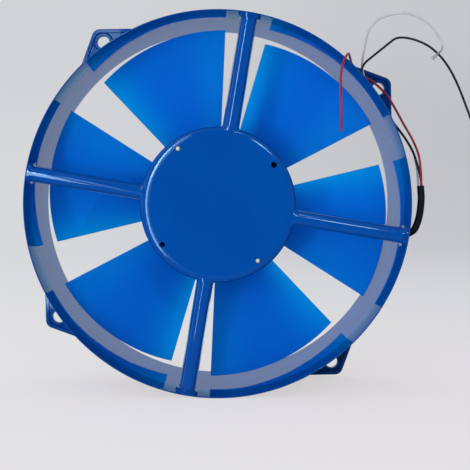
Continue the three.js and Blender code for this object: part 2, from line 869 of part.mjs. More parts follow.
const staticPieces = new THREE.Group();
staticPieces.add(
  housing(),
  statorCarrier(),
  seatScrew('seat_screw_top', -eighthTurn),
  seatScrew('seat_screw_bottom', 3 * eighthTurn),
  statorCore(),
  endInsulator('insulator_front', coreFrontY - fitGap),
  endInsulator('insulator_rear', coreRearY + fitGap + insulatorThickness),
  frontBearing.outer,
  rearBearing.outer,
  waveWasher(),
);
for (let i = 0; i < toothCount; i += 1) staticPieces.add(coil(i));

const leads = new THREE.Group();
leads.add(
  piece('lead_sleeve', tubeAlong(sleeveRoute, sleeveRadius, sleeveSteps, leadSides), blackSleeving),
  piece('red_lead', tubeAlong(redRoute, leadRadius, redSteps, leadSides), redInsulation),
  piece('black_lead', tubeAlong(blackRoute, leadRadius, blackSteps, leadSides), blackInsulation),
  piece('white_lead', tubeAlong(whiteRoute, leadRadius, whiteSteps, leadSides), whiteInsulation),
  piece('black_lead_end', tubeAlong(blackEndRoute, leadEndRadius, leadEndSteps, leadSides), tinnedCopper),
  piece('white_lead_end', tubeAlong(whiteEndRoute, leadEndRadius, leadEndSteps, leadSides), tinnedCopper),
);

const spinningPieces = new THREE.Group();
spinningPieces.add(
  shaft(),
  shaftClip(),
  frontBearing.inner,
  rearBearing.inner,
  rotorCan(),
  rotorCore(),
  impeller(),
);
for (let i = 0; i < impellerScrewCount; i += 1) spinningPieces.add(impellerScrew(i));

const ballSets = new THREE.Group();
ballSets.add(frontBearing.balls, rearBearing.balls);

const axialFan = new THREE.Group();
axialFan.add(staticPieces, leads, spinningPieces, ballSets);

export default axialFan;
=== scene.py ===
# Axial fan: duct ring with four arms, motor seat, outer-rotor motor, impeller and leads.
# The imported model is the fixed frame, in metres: the fan's axis lies along Y, the armed
# front faces -Y, the ears' rear faces lie on y = 0 and +Z points along the upper arm.
# Angles round the axis run from +Z towards +X, clockwise as seen from the front.
import math

import bmesh
import bpy
from mathutils import Matrix, Vector


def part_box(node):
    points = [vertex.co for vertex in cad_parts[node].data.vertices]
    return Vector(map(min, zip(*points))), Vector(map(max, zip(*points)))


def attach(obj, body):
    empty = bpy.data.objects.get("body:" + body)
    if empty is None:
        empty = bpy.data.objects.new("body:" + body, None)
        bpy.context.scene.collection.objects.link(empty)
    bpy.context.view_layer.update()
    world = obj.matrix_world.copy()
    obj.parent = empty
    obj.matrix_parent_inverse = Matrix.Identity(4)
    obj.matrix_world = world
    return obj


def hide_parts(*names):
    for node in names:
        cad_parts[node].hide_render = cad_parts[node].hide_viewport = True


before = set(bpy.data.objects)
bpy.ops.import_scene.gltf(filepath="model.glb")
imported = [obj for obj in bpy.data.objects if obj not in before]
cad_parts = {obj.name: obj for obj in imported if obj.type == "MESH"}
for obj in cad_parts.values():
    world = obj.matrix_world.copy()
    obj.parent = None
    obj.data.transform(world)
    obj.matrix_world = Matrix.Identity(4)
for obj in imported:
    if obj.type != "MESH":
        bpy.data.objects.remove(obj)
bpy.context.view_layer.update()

mm = 0.001
quarter_turn = math.pi / 2
eighth_turn = math.pi / 4
full_turn = 2 * math.pi


# Camera
# It stands 665 mm before the armed front and looks almost straight along the axis. The
# picture shows the fan rolled clockwise, so the camera is rolled the other way.
picture_px = 470
focal_px = 1245
near_limit = 50 * mm
far_limit = 20
axis_right_px = 220.7
axis_down_px = 186.1
sensor_width = 36
stand_off = 665 * mm
camera_sideways = 1.5 * mm
camera_lift = 10 * mm
fan_roll = math.radians(9.5)

front_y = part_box("housing")[0].y
unrolled = Matrix.Rotation(-fan_roll, 3, "Y")
half_picture = picture_px / 2
look = Vector(((half_picture - axis_right_px) / focal_px, 1, (axis_down_px - half_picture) / focal_px))
look.normalize()
look_right = look.cross(Vector((0, 0, 1))).normalized()
look_up = look_right.cross(look)
camera_turn = unrolled @ Matrix((look_right, look_up, -look)).transposed()
camera_place = unrolled @ Vector((camera_sideways, front_y - stand_off, camera_lift))

camera_data = bpy.data.cameras.new("camera")
camera_data.sensor_width = sensor_width
camera_data.lens = sensor_width * focal_px / picture_px
camera_data.clip_start = near_limit
camera_data.clip_end = far_limit


def placed_object(name, data):
    """A new object in the scene, from a camera's, mesh's or lamp's data."""
    made = bpy.data.objects.new(name, data)
    bpy.context.scene.collection.objects.link(made)
    return made


camera = placed_object("camera", camera_data)
camera.matrix_world = Matrix.Translation(camera_place) @ camera_turn.to_4x4()
bpy.context.scene.camera = camera


# Lead sleeve
# Black woven insulating sleeve over the three leads. It lies in the channel behind the
# right arm, passes through the ring in a drilled hole and ends in an open, flared mouth.
sleeve_radius = 1.95 * mm
sleeve_wall = 0.32 * mm
sleeve_mouth_flare = 0.1 * mm
sleeve_mouth_depth = 9 * mm
sleeve_step = 0.8 * mm
sleeve_sides = 40
sleeve_route = [
    (0.033, -0.071, 0),
    (0.045, -0.071, 0),
    (0.06, -0.071, 0),
    (0.075, -0.071, 0),
    (0.087, -0.071, 0),
    (0.0945, -0.071, 0),
    (0.0999, -0.071, 0),
    (0.1038, -0.071, 0.0013),
    (0.107, -0.0708, 0.0038),
    (0.1082, -0.0704, 0.007),
    (0.1089, -0.0698, 0.0114),
    (0.1089, -0.0689, 0.0174),
    (0.1085, -0.068, 0.0222),
    (0.1073, -0.0668, 0.028),
]


def smooth_line(points, step):
    """Points along the smooth curve through the given ones, a step apart or closer."""
    given = [Vector(point) for point in points]
    given = [2 * given[0] - given[1], *given, 2 * given[-1] - given[-2]]
    line = []
    for before, start, end, after in zip(given, given[1:], given[2:], given[3:]):
        first = math.sqrt((start - before).length)
        middle = math.sqrt((end - start).length)
        last = math.sqrt((after - end).length)
        through = (end - start) / middle
        leave = middle * ((start - before) / first - (end - before) / (first + middle) + through)
        arrive = middle * (through - (after - start) / (middle + last) + (after - end) / last)
        count = math.ceil((end - start).length / step)
        for i in range(count):
            t = i / count
            bend = (2 * t**3 - 3 * t**2 + 1) * start + (t**3 - 2 * t**2 + t) * leave
            line.append(bend + (3 * t**2 - 2 * t**3) * end + (t**3 - t**2) * arrive)
    line.append(given[-2])
    return line


def closed_object(name, points, faces):
    """A smooth-shaded mesh object from points and faces, with its faces turned outwards."""
    mesh = bpy.data.meshes.new(name)
    mesh.from_pydata(points, [], faces)
    shape = bmesh.new()
    shape.from_mesh(mesh)
    bmesh.ops.recalc_face_normals(shape, faces=shape.faces)
    shape.to_mesh(mesh)
    shape.free()
    mesh.shade_smooth()
    return placed_object(name, mesh)


def keep_sharp(piece, degrees):
    """Shades a piece smooth, apart from the edges that turn by more than these degrees."""
    piece.data.shade_smooth()
    piece.data.set_sharp_from_angle(angle=math.radians(degrees))


def faces_between(row_count, count, closed=False):
    """Faces between rows of equally many points; closed brings the last row to the first."""
    faces = []
    for i in range(row_count if closed else row_count - 1):
        row = i * count
        after = (i + 1) % row_count * count
        for k in range(count):
            beside = (k + 1) % count
            faces.append((row + k, row + beside, after + beside, after + k))
    return faces


def carried_rings(rings, sides):
    """Points and faces of a tube round (centre, radius) rings, closed by a fan at both ends."""
    points = []
    across = None
    for i, (centre, radius) in enumerate(rings):
        before = rings[max(i - 1, 0)][0]
        after = rings[min(i + 1, len(rings) - 1)][0]
        along = after - before
        if along.length == 0:
            along = centre - rings[max(i - 2, 0)][0]
        along.normalize()
        if across is None:
            across = along.orthogonal()
        across = (across - along * across.dot(along)).normalized()
        upright = along.cross(across)
        for k in range(sides):
            angle = full_turn * k / sides
            points.append(centre + radius * (math.cos(angle) * across + math.sin(angle) * upright))
    faces = faces_between(len(rings), sides)
    for centre, row in ((rings[0][0], 0), (rings[-1][0], (len(rings) - 1) * sides)):
        points.append(centre)
        faces.extend((row + k, row + (k + 1) % sides, len(points) - 1) for k in range(sides))
    return points, faces


def colour(red, green, blue):
    """A linear colour from the 0 to 255 values of a screen."""
    shares = [value / 255 for value in (red, green, blue)]
    return tuple(c / 12.92 if c <= 0.04045 else ((c + 0.055) / 1.055) ** 2.4 for c in shares) + (1,)


def feed(tree, socket, value):
    """Gives a socket a value, or links it to another node's output."""
    if isinstance(value, bpy.types.NodeSocket):
        tree.links.new(value, socket)
    else:
        socket.default_value = value


def feed_all(tree, made, **values):
    """Feeds a node's sockets, which are named here in lower case."""
    for name, value in values.items():
        feed(tree, made.inputs[name.replace("_", " ").title()], value)
    return made


def node(tree, kind, **values):
    """A shader node with its sockets fed."""
    return feed_all(tree, tree.nodes.new("ShaderNode" + kind), **values)


def place_in_fan(tree):
    """Where a point lies, in the fan's own metres."""
    return node(tree, "TexCoord").outputs["Object"]


def noise_at(tree, size, detail):
    """Noise whose features are about size across."""
    return node(tree, "TexNoise", vector=place_in_fan(tree), scale=1 / size, detail=detail).outputs["Fac"]


def ranged(tree, value, low, high, new_low=0, new_high=1):
    """Value, from low to high, spread over new_low to new_high."""
    spread = node(tree, "MapRange", value=value, from_min=low, from_max=high, to_min=new_low, to_max=new_high)
    return spread.outputs["Result"]


def drift_in(tree, size, detail, new_low=0, new_high=1):
    """Slow drifts about size across; the noise's middle range is spread over new_low to new_high."""
    return ranged(tree, noise_at(tree, size, detail), 0.3, 0.7, new_low, new_high)


def mixed(tree, share, first, second):
    """A colour between first and second, which are colours or the outputs of nodes."""
    blend = tree.nodes.new("ShaderNodeMix")
    blend.data_type = "RGBA"
    feed(tree, blend.inputs["Factor"], share)
    for name, end in (("A", first), ("B", second)):
        feed(tree, next(s for s in blend.inputs if s.name == name and s.type == "RGBA"), end)
    return next(s for s in blend.outputs if s.type == "RGBA")


def bumped(tree, height, depth, under=None):
    """The normal of a surface whose height, from 0 to 1, is depth metres deep."""
    bump = node(tree, "Bump", strength=1, distance=depth, height=height)
    if under:
        feed_all(tree, bump, normal=under)
    return bump.outputs["Normal"]


def blank_material(name):
    """A new material with its node tree and its shader."""
    material = bpy.data.materials.new(name)
    material.use_nodes = True
    return material, material.node_tree, material.node_tree.nodes["Principled BSDF"]


def mottled_material(name, dark, light, patch, roughness, grain, grain_depth, metallic=0):
    """Colour drifts from dark to light in patches; a fine grain raises the surface a little."""
    material, tree, shader = blank_material(name)
    feed_all(tree, shader, metallic=metallic, base_color=mixed(tree, drift_in(tree, patch, 3), dark, light),
             roughness=drift_in(tree, patch / 3, 3, *roughness),
             normal=bumped(tree, noise_at(tree, grain, 3), grain_depth))
    return material


def dress(piece, material):
    """Gives a piece or a carried-over node one material all over."""
    piece.data.materials.clear()
    piece.data.materials.append(material)


sleeve_line = smooth_line(sleeve_route, sleeve_step)
sleeve_rings = [(centre, sleeve_radius) for centre in sleeve_line]
sleeve_rings[-1] = (sleeve_line[-1], sleeve_radius + sleeve_mouth_flare)
mouth_line = [centre for centre in sleeve_line if (centre - sleeve_line[-1]).length < sleeve_mouth_depth]
for centre in reversed(mouth_line):
    sleeve_rings.append((centre, sleeve_radius - sleeve_wall))
lead_sleeve = closed_object("lead_sleeve_woven", *carried_rings(sleeve_rings, sleeve_sides))
keep_sharp(lead_sleeve, 60)
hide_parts("lead_sleeve")
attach(lead_sleeve, "housing_and_stator")

sleeving = mottled_material(
    "black_sleeving", colour(6, 6, 8), colour(20, 20, 23),
    patch=4 * mm, roughness=(0.42, 0.6), grain=0.35 * mm, grain_depth=0.09 * mm)
sleeving.node_tree.nodes["Principled BSDF"].inputs["Specular IOR Level"].default_value = 0.25
dress(lead_sleeve, sleeving)


# Red, black and white leads
# Stranded copper wires in plastic insulation, 1.3 mm thick and stiff enough to stand up
# in arcs. The red one is cut off blunt, the black and the white one are bared and tinned.
lead_radius = 0.65 * mm
lead_edge = 0.15 * mm
lead_hidden_length = 4 * mm
lead_step = 0.6 * mm
lead_sides = 20
mouth_direction_steps = 7
red_route = [
    (0.1076, -0.0677, 0.0275),
    (0.107, -0.0665, 0.0324),
    (0.106, -0.065, 0.0375),
    (0.104, -0.063, 0.0447),
    (0.0996, -0.061, 0.0525),
    (0.0934, -0.059, 0.0605),
    (0.0878, -0.058, 0.0678),
    (0.0828, -0.058, 0.0735),
    (0.0773, -0.0587, 0.0778),
    (0.072, -0.0597, 0.0806),
    (0.0672, -0.0603, 0.0824),
    (0.0627, -0.062, 0.085),
    (0.0591, -0.067, 0.0873),
    (0.0571, -0.0745, 0.0892),
    (0.0552, -0.082, 0.0906),
    (0.0538, -0.0863, 0.0886),
    (0.0527, -0.0883, 0.085),
    (0.0524, -0.089, 0.0801),
    (0.053, -0.0892, 0.0744),
    (0.0547, -0.0892, 0.0662),
    (0.0563, -0.089, 0.0574),
    (0.0577, -0.0888, 0.0489),
]
black_route = [
    (0.1082, -0.0662, 0.0274),
    (0.107, -0.0648, 0.0324),
    (0.1049, -0.0625, 0.0382),
    (0.1011, -0.06, 0.046),
    (0.0968, -0.057, 0.052),
    (0.0925, -0.0535, 0.057),
    (0.0867, -0.049, 0.063),
    (0.0812, -0.0445, 0.0697),
    (0.076, -0.0405, 0.076),
    (0.0711, -0.0375, 0.0821),
    (0.068, -0.036, 0.0878),
    (0.069, -0.035, 0.0922),
    (0.0734, -0.0342, 0.0976),
    (0.0782, -0.034, 0.103),
    (0.0816, -0.0341, 0.1068),
    (0.0841, -0.0343, 0.1092),
    (0.0868, -0.0346, 0.1102),
    (0.0901, -0.0351, 0.1105),
    (0.0961, -0.036, 0.1099),
    (0.1034, -0.037, 0.1076),
    (0.1108, -0.038, 0.1028),
    (0.1175, -0.039, 0.0958),
    (0.1238, -0.04, 0.0867),
    (0.1287, -0.041, 0.0781),
    (0.1326, -0.042, 0.071),
    (0.136, -0.043, 0.0631),
    (0.139, -0.044, 0.0549),
    (0.1412, -0.0446, 0.048),
]
white_route = [
    (0.1063, -0.0666, 0.0271),
    (0.1056, -0.0636, 0.0325),
    (0.1044, -0.0597, 0.039),
    (0.1019, -0.0555, 0.0462),
    (0.0979, -0.051, 0.0522),
    (0.093, -0.0465, 0.0578),
    (0.0866, -0.042, 0.065),
    (0.0788, -0.037, 0.0743),
    (0.0726, -0.0315, 0.0823),
    (0.0689, -0.0285, 0.0894),
    (0.0682, -0.027, 0.0959),
    (0.0684, -0.0266, 0.1033),
    (0.0688, -0.027, 0.1109),
    (0.0705, -0.0275, 0.1156),
    (0.0736, -0.028, 0.1195),
    (0.0796, -0.029, 0.1228),
    (0.0875, -0.0303, 0.1249),
    (0.0946, -0.032, 0.1239),
    (0.1007, -0.0343, 0.121),
    (0.1058, -0.037, 0.1162),
    (0.109, -0.0397, 0.1113),
    (0.1102, -0.0415, 0.108),
]


def insulated_lead(hue, route, insulation):
    """One lead from inside the sleeve's mouth to its end, with a slightly rounded edge there."""
    inwards = (sleeve_line[-1 - mouth_direction_steps] - sleeve_line[-1]).normalized() * lead_hidden_length
    line = smooth_line([Vector(route[0]) + inwards, *route], lead_step)
    rings = [(centre, lead_radius) for centre in line]
    rings[0] = (line[0], lead_radius - lead_edge)
    last_step = (line[-1] - line[-2]).normalized()
    rings[-1] = (line[-1] - last_step * lead_edge, lead_radius)
    rings.append((line[-1], lead_radius - lead_edge))
    lead = closed_object(hue + "_lead_insulated", *carried_rings(rings, lead_sides))
    keep_sharp(lead, 60)
    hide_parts(hue + "_lead")
    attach(lead, "housing_and_stator")
    dress(lead, insulation)


def insulation_material(name, dark, light, translucence=0):
    """Extruded plastic: faint colour drift, soft gloss and slight waviness along the wire."""
    material = mottled_material(name, dark, light, patch=9 * mm, roughness=(0.3, 0.42),
                                grain=1.2 * mm, grain_depth=0.02 * mm)
    feed_all(material.node_tree, material.node_tree.nodes["Principled BSDF"],
             subsurface_weight=translucence, subsurface_radius=(1, 1, 1), subsurface_scale=lead_radius)
    return material


# Bared ends
# Seven tinned copper strands in each lead. They lie twisted on the black lead's end and
# are splayed open, with bent tips, on the white one.
strand_radius = 0.13 * mm
strand_ring = 0.27 * mm
strand_twists = 1.6
strand_step = 0.4 * mm
strand_sides = 8
outer_strand_count = 6
splay = 1.3 * mm
splay_mean_share = 0.55
splay_swing_share = 0.45
splay_swings = 3
white_end_route = [
    (0.1103, -0.0417, 0.1076),
    (0.1098, -0.042, 0.106),
    (0.1083, -0.0427, 0.104),
    (0.1069, -0.0434, 0.102),
    (0.1055, -0.044, 0.1),
]
black_end_route = [
    (0.1413, -0.0447, 0.0476),
    (0.142, -0.045, 0.045),
    (0.1425, -0.0452, 0.0425),
    (0.1429, -0.0454, 0.04),
]


def strand_bundle(name, stands_for, route, opening):
    """Strands twisted round a middle one; opening is how far their tips stand apart."""
    line = smooth_line(route, strand_step)
    across = (line[-1] - line[0]).orthogonal().normalized()
    upright = (line[-1] - line[0]).normalized().cross(across)
    points = []
    faces = []
    for strand in range(outer_strand_count + 1):
        phase = full_turn * strand / outer_strand_count
        reach = strand_ring if strand < outer_strand_count else 0
        tip_share = splay_mean_share + splay_swing_share * math.sin(splay_swings * phase + 1)
        rings = []
        for i, centre in enumerate(line):
            share = i / (len(line) - 1)
            angle = phase + strand_twists * full_turn * share
            ring = reach + opening * share**2 * tip_share if reach else 0
            beside = math.cos(angle) * across + math.sin(angle) * upright
            rings.append((centre + ring * beside, strand_radius))
        strand_points, strand_faces = carried_rings(rings, strand_sides)
        faces.extend(tuple(corner + len(points) for corner in face) for face in strand_faces)
        points.extend(strand_points)
    bundle = closed_object(name, points, faces)
    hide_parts(stands_for)
    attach(bundle, "housing_and_stator")
    return bundle


tinned_copper = mottled_material(
    "tinned_copper", colour(176, 170, 158), colour(220, 217, 210),
    patch=1.5 * mm, roughness=(0.3, 0.5), grain=0.3 * mm, grain_depth=0.02 * mm, metallic=0.6)
white_end = strand_bundle("white_lead_strands", "white_lead_end", white_end_route, splay)
black_end = strand_bundle("black_lead_strands", "black_lead_end", black_end_route, 0)
for bundle in (white_end, black_end):
    dress(bundle, tinned_copper)

red_insulation = insulation_material("red_plastic", colour(140, 20, 38), colour(176, 36, 52), 0.15)
black_insulation = insulation_material("black_plastic", colour(4, 4, 5), colour(13, 13, 15))
white_insulation = insulation_material("white_plastic", colour(196, 191, 189), colour(212, 207, 205), 0.3)
insulated_lead("red", red_route, red_insulation)
insulated_lead("black", black_route, black_insulation)
insulated_lead("white", white_route, white_insulation)


# Housing
# One aluminium die casting under thick, glossy blue enamel: the duct ring with a rounded
# front mouth, four ears with raised rims on its rear edge, four arms and the cup-shaped
# motor seat. The enamel fills the corners, so each arm flares into the ring and the seat.
ring_radius = -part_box("housing")[0].z
ring_wall = 2.6 * mm
ring_lip = 0.25 * mm
ring_mouth_depth = 11 * mm
ring_mouth_flare = 1.9 * mm
ring_edge = 0.45 * mm
ring_sides = 288
wall_row = 4 * mm
arm_count = 4
arm_pitch = full_turn / arm_count
arm_half_width = 4.05 * mm
arm_depth = 12 * mm
arm_crown = 3.6 * mm
arm_crown_power = 2.4
arm_setback = 0.1 * mm
arm_rear_corner = 0.8 * mm
arm_flare = 1.8 * mm
seat_flare_lap = arm_flare / 4
arm_draft = 0.55 * mm
seat_radius = 41.9 * mm
seat_dish_start = 36.6 * mm
seat_dish_curve = 24 * mm
seat_dish_angle = math.radians(6.7)
seat_depth = 20 * mm
seat_wall = 1.9 * mm
seat_plate = 3 * mm
seat_hole_circle = 36.8 * mm
seat_hole_radius = 1.6 * mm
seat_hole_sides = 32
seat_sides = 192
channel_width = 4.7 * mm
channel_depth = 5.4 * mm
sleeve_passage = 0.6 * mm
passage_step = 1.5 * mm
passage_sides = 32
ear_hole_beyond_ring = 12.67 * mm
ear_hole_circle = ring_radius + ear_hole_beyond_ring
ear_hole_sides = 48
ear_hole_radius = 3.6 * mm
ear_tip_offset = 3.5 * mm
ear_tip_radius = 4.8 * mm
ear_thickness = 5 * mm
ear_rim_width = 1.8 * mm
ear_rim_height = 1.3 * mm
ear_boss_wall = 1.8 * mm
ear_edge = 0.5 * mm
pocket_draft = 0.5 * mm
overrun = 1 * mm
ring_inner_radius = ring_radius - ring_wall
seat_inner_radius = seat_radius - seat_wall


def arc(centre, radius, start, end, steps):
    """Points on an arc round centre, from the start angle to the end angle."""
    angles = [start + (end - start) * i / steps for i in range(steps + 1)]
    return [(centre[0] + radius * math.cos(a), centre[1] + radius * math.sin(a)) for a in angles]


def rows_between(start, end, step):
    """Evenly spaced points after start up to and with end, about a step apart."""
    count = max(1, round(math.dist(start, end) / step))
    return [(start[0] + (end[0] - start[0]) * i / count, start[1] + (end[1] - start[1]) * i / count)
            for i in range(1, count + 1)]


def turned(name, profile, sides):
    """A solid turned about the axis from a closed outline of (radius, y) points."""
    points = []
    faces = []
    first_of = []
    for radius, y in profile:
        first_of.append(len(points))
        count = sides if radius > 0 else 1
        for k in range(count):
            angle = full_turn * k / sides
            points.append((radius * math.sin(angle), y, radius * math.cos(angle)))
    for i in range(len(profile)):
        j = (i + 1) % len(profile)
        for k in range(sides):
            beside = (k + 1) % sides
            corners = []
            for row, index in ((i, k), (i, beside), (j, beside), (j, k)):
                corner = first_of[row] + (index if profile[row][0] > 0 else 0)
                if corner not in corners:
                    corners.append(corner)
            if len(corners) > 2:
                faces.append(tuple(corners))
    return closed_object(name, points, faces)


def lofted(name, sections):
    """A solid through closed sections of equally many points, with flat ends."""
    count = len(sections[0])
    points = [point for section in sections for point in section]
    faces = faces_between(len(sections), count)
    faces.append(tuple(range(count)))
    faces.append(tuple(range((len(sections) - 1) * count, len(points))))
    return closed_object(name, points, faces)


def turned_about_axis(piece, angle):
    """Turns a piece's mesh about the fan's axis, from +Z towards +X."""
    piece.data.transform(Matrix.Rotation(angle, 4, "Y"))
    return piece


def combined(body, tool, operation):
    """Joins tool to body, or cuts it out, and leaves the result in body."""
    boolean = body.modifiers.new(operation, "BOOLEAN")
    boolean.operation = operation
    boolean.solver = "MANIFOLD"
    boolean.object = tool
    result = body.evaluated_get(bpy.context.evaluated_depsgraph_get())
    shape = bpy.data.meshes.new_from_object(result)
    body.modifiers.clear()
    body.data = shape
    bpy.data.objects.remove(tool)
    return body


def duct_ring():
    """The duct's wall, with its rounded, flared mouth in front."""
    mouth_angle = math.atan2(ring_mouth_flare, ring_mouth_depth)
    lip_centre = (ring_inner_radius + ring_mouth_flare + ring_lip * math.cos(mouth_angle),
                  front_y + ring_lip)
    edge_centre = (ring_radius - ring_edge, front_y + ring_edge)
    profile = [(ring_inner_radius, front_y + ring_mouth_depth)]
    profile += arc(lip_centre, ring_lip, math.pi + mouth_angle, 3 * quarter_turn, 6)
    profile += arc(edge_centre, ring_edge, -quarter_turn, 0, 5)
    profile += rows_between(profile[-1], (ring_radius, 0), wall_row)
    profile += rows_between(profile[-1], (ring_inner_radius, 0), ring_wall)
    profile += rows_between(profile[-1], profile[0], wall_row)[:-1]
    return turned("housing_enamelled", profile, ring_sides)


def motor_seat():
    """The closed cup in the middle, with a faintly dished front."""
    dish_centre = (seat_dish_start, front_y + seat_dish_curve)
    profile = [(0, front_y)]
    profile += arc(dish_centre, seat_dish_curve, -quarter_turn, seat_dish_angle - quarter_turn, 10)
    corner = (seat_radius - profile[-1][0]) / (1 - math.sin(seat_dish_angle))
    corner_centre = (seat_radius - corner, profile[-1][1] + corner * math.cos(seat_dish_angle))
    profile += arc(corner_centre, corner, seat_dish_angle - quarter_turn, 0, 16)[1:]
    profile += rows_between(profile[-1], (seat_radius, front_y + seat_depth), wall_row)
    profile.append((seat_inner_radius, front_y + seat_depth))
    profile += rows_between(profile[-1], (seat_inner_radius, front_y + seat_plate), wall_row)
    profile.append((0, front_y + seat_plate))
    return turned("motor_seat", profile, seat_sides)


def flare(distance):
    """How far the enamel widens an arm at this distance from the wall that it meets."""
    if distance >= arm_flare:
        return 0
    return arm_flare - math.sqrt(max(0, arm_flare**2 - (arm_flare - distance) ** 2))


def arm_section(radius):
    """The arm's outline across its length, at this distance from the axis."""
    widening = max(flare(radius - seat_radius + seat_flare_lap), flare(ring_inner_radius - radius))
    half_width = arm_half_width + widening
    crown_y = front_y + arm_setback
    rear_y = front_y + arm_depth
    outline = []
    for x, _ in arc((0, 0), 1, math.pi, full_turn, 32):
        rise = max(0, 1 - abs(x) ** arm_crown_power) ** (1 / arm_crown_power)
        outline.append((x * half_width, crown_y + arm_crown * (1 - rise)))
    corner_x = half_width + arm_draft - arm_rear_corner
    corner_y = rear_y - arm_rear_corner
    outline += arc((corner_x, corner_y), arm_rear_corner, 0, quarter_turn, 4)
    outline += arc((-corner_x, corner_y), arm_rear_corner, quarter_turn, math.pi, 4)
    return [(x, y, radius) for x, y in outline]


def arm(angle):
    """One arm, from inside the seat's wall to inside the ring's, flared at both."""
    start = seat_inner_radius
    end = ring_radius - ring_edge
    near_ring = ring_inner_radius - arm_flare
    stations = [start + (seat_radius - start) * i / 3 for i in range(3)]
    stations += [seat_radius + arm_flare * i / 8 for i in range(8)]
    stations += [radius for radius, _ in rows_between((seat_radius + arm_flare, 0), (near_ring, 0), wall_row)]
    stations += [near_ring + arm_flare * i / 8 for i in range(1, 9)]
    stations += [end]
    return turned_about_axis(lofted("arm", [arm_section(radius) for radius in stations]), angle)


def ear_outline(ring_reach, tip_reach, y):
    """The ear's outline across the axis: from the ring's circle, tangent to a round tip."""
    tip_centre = ear_hole_circle + ear_tip_offset
    lean = math.acos((ring_reach - tip_reach) / tip_centre)
    inner_reach = ring_radius - ring_wall / 2
    outline = arc((0, tip_centre), tip_reach, quarter_turn - lean, quarter_turn + lean, 24)
    outline.append((ring_reach * math.cos(quarter_turn + lean), ring_reach * math.sin(quarter_turn + lean)))
    outline += arc((0, 0), inner_reach - overrun, quarter_turn + lean, quarter_turn - lean, 24)
    outline.append((ring_reach * math.cos(quarter_turn - lean), ring_reach * math.sin(quarter_turn - lean)))
    return [(x, y, z) for x, z in outline]


def rod(name, radii_at, sides):
    """A round solid along Y through (radius, y) stations."""
    return turned(name, [(0, radii_at[0][1]), *radii_at, (0, radii_at[-1][1])], sides)


def moved_to_circle(piece, circle_radius, angle):
    """Puts a piece made on the axis at a place on a circle round it."""
    piece.data.transform(Matrix.Translation((0, 0, circle_radius)))
    return turned_about_axis(piece, angle)


def mounting_ear(angle):
    """One ear: a plate with a raised rim, and a boss round its screw hole."""
    layers = [(0, ear_edge), (ear_edge, 0), (ear_thickness - ear_edge, 0), (ear_thickness, ear_edge)]
    ear = lofted("ear", [ear_outline(ring_radius - e, ear_tip_radius - e, -y) for y, e in layers])
    floor_y = ear_rim_height - ear_thickness
    rim = ear_rim_width
    pocket_layers = [(floor_y, rim + pocket_draft), (-ear_thickness - overrun, rim)]
    pocket = lofted("pocket", [ear_outline(ring_radius - e, ear_tip_radius - e, y) for y, e in pocket_layers])
    boss_radius = ear_hole_radius + ear_boss_wall
    boss_stations = [
        (boss_radius + pocket_draft, floor_y + overrun / 2),
        (boss_radius + pocket_draft, floor_y),
        (boss_radius, -ear_thickness + pocket_draft),
        (boss_radius - pocket_draft, -ear_thickness),
    ]
    boss = rod("boss", boss_stations, ear_hole_sides)
    ear = combined(ear, pocket, "DIFFERENCE")
    ear = combined(ear, moved_to_circle(boss, ear_hole_circle, 0), "UNION")
    hole_stations = [
        (ear_hole_radius + ear_edge + overrun, -ear_thickness - overrun),
        (ear_hole_radius, -ear_thickness + ear_edge),
        (ear_hole_radius, -ear_edge),
        (ear_hole_radius + ear_edge + overrun, overrun),
    ]
    hole = rod("hole", hole_stations, ear_hole_sides)
    ear = combined(ear, moved_to_circle(hole, ear_hole_circle, 0), "DIFFERENCE")
    return turned_about_axis(ear, angle)


housing = duct_ring()
for i in range(arm_count):
    housing = combined(housing, arm(i * arm_pitch), "UNION")
    housing = combined(housing, mounting_ear((i + 1 / 2) * arm_pitch), "UNION")
housing = combined(housing, motor_seat(), "UNION")
channel_floor = front_y + arm_depth - channel_depth
channel_rear = front_y + arm_depth + overrun
channel_section = [
    (-channel_width / 2, channel_floor),
    (channel_width / 2, channel_floor),
    (channel_width / 2, channel_rear),
    (-channel_width / 2, channel_rear),
]
channel = lofted("channel", [[(x, y, radius) for x, y in channel_section]
                             for radius in (seat_inner_radius - overrun, ring_inner_radius)])
housing = combined(housing, turned_about_axis(channel, quarter_turn), "DIFFERENCE")
passage_line = smooth_line(sleeve_route, passage_step)
passage_rings = [(centre, sleeve_radius + sleeve_passage) for centre in passage_line]
passage = closed_object("passage", *carried_rings(passage_rings, passage_sides))
housing = combined(housing, passage, "DIFFERENCE")
for i in range(arm_count):
    seat_hole = rod("seat_hole", [
        (seat_hole_radius, front_y - overrun),
        (seat_hole_radius, front_y + seat_plate + overrun),
    ], seat_hole_sides)
    moved_to_circle(seat_hole, seat_hole_circle, (i + 1 / 2) * arm_pitch)
    housing = combined(housing, seat_hole, "DIFFERENCE")
keep_sharp(housing, 38)
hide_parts("housing")
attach(housing, "housing_and_stator")


def distance_from_axis(tree):
    """How far a point lies from the fan's axis."""
    across = node(tree, "Mapping", vector=place_in_fan(tree), scale=(1, 0, 1))
    reach = node(tree, "VectorMath", vector=across.outputs["Vector"])
    reach.operation = "LENGTH"
    return reach.outputs["Value"]


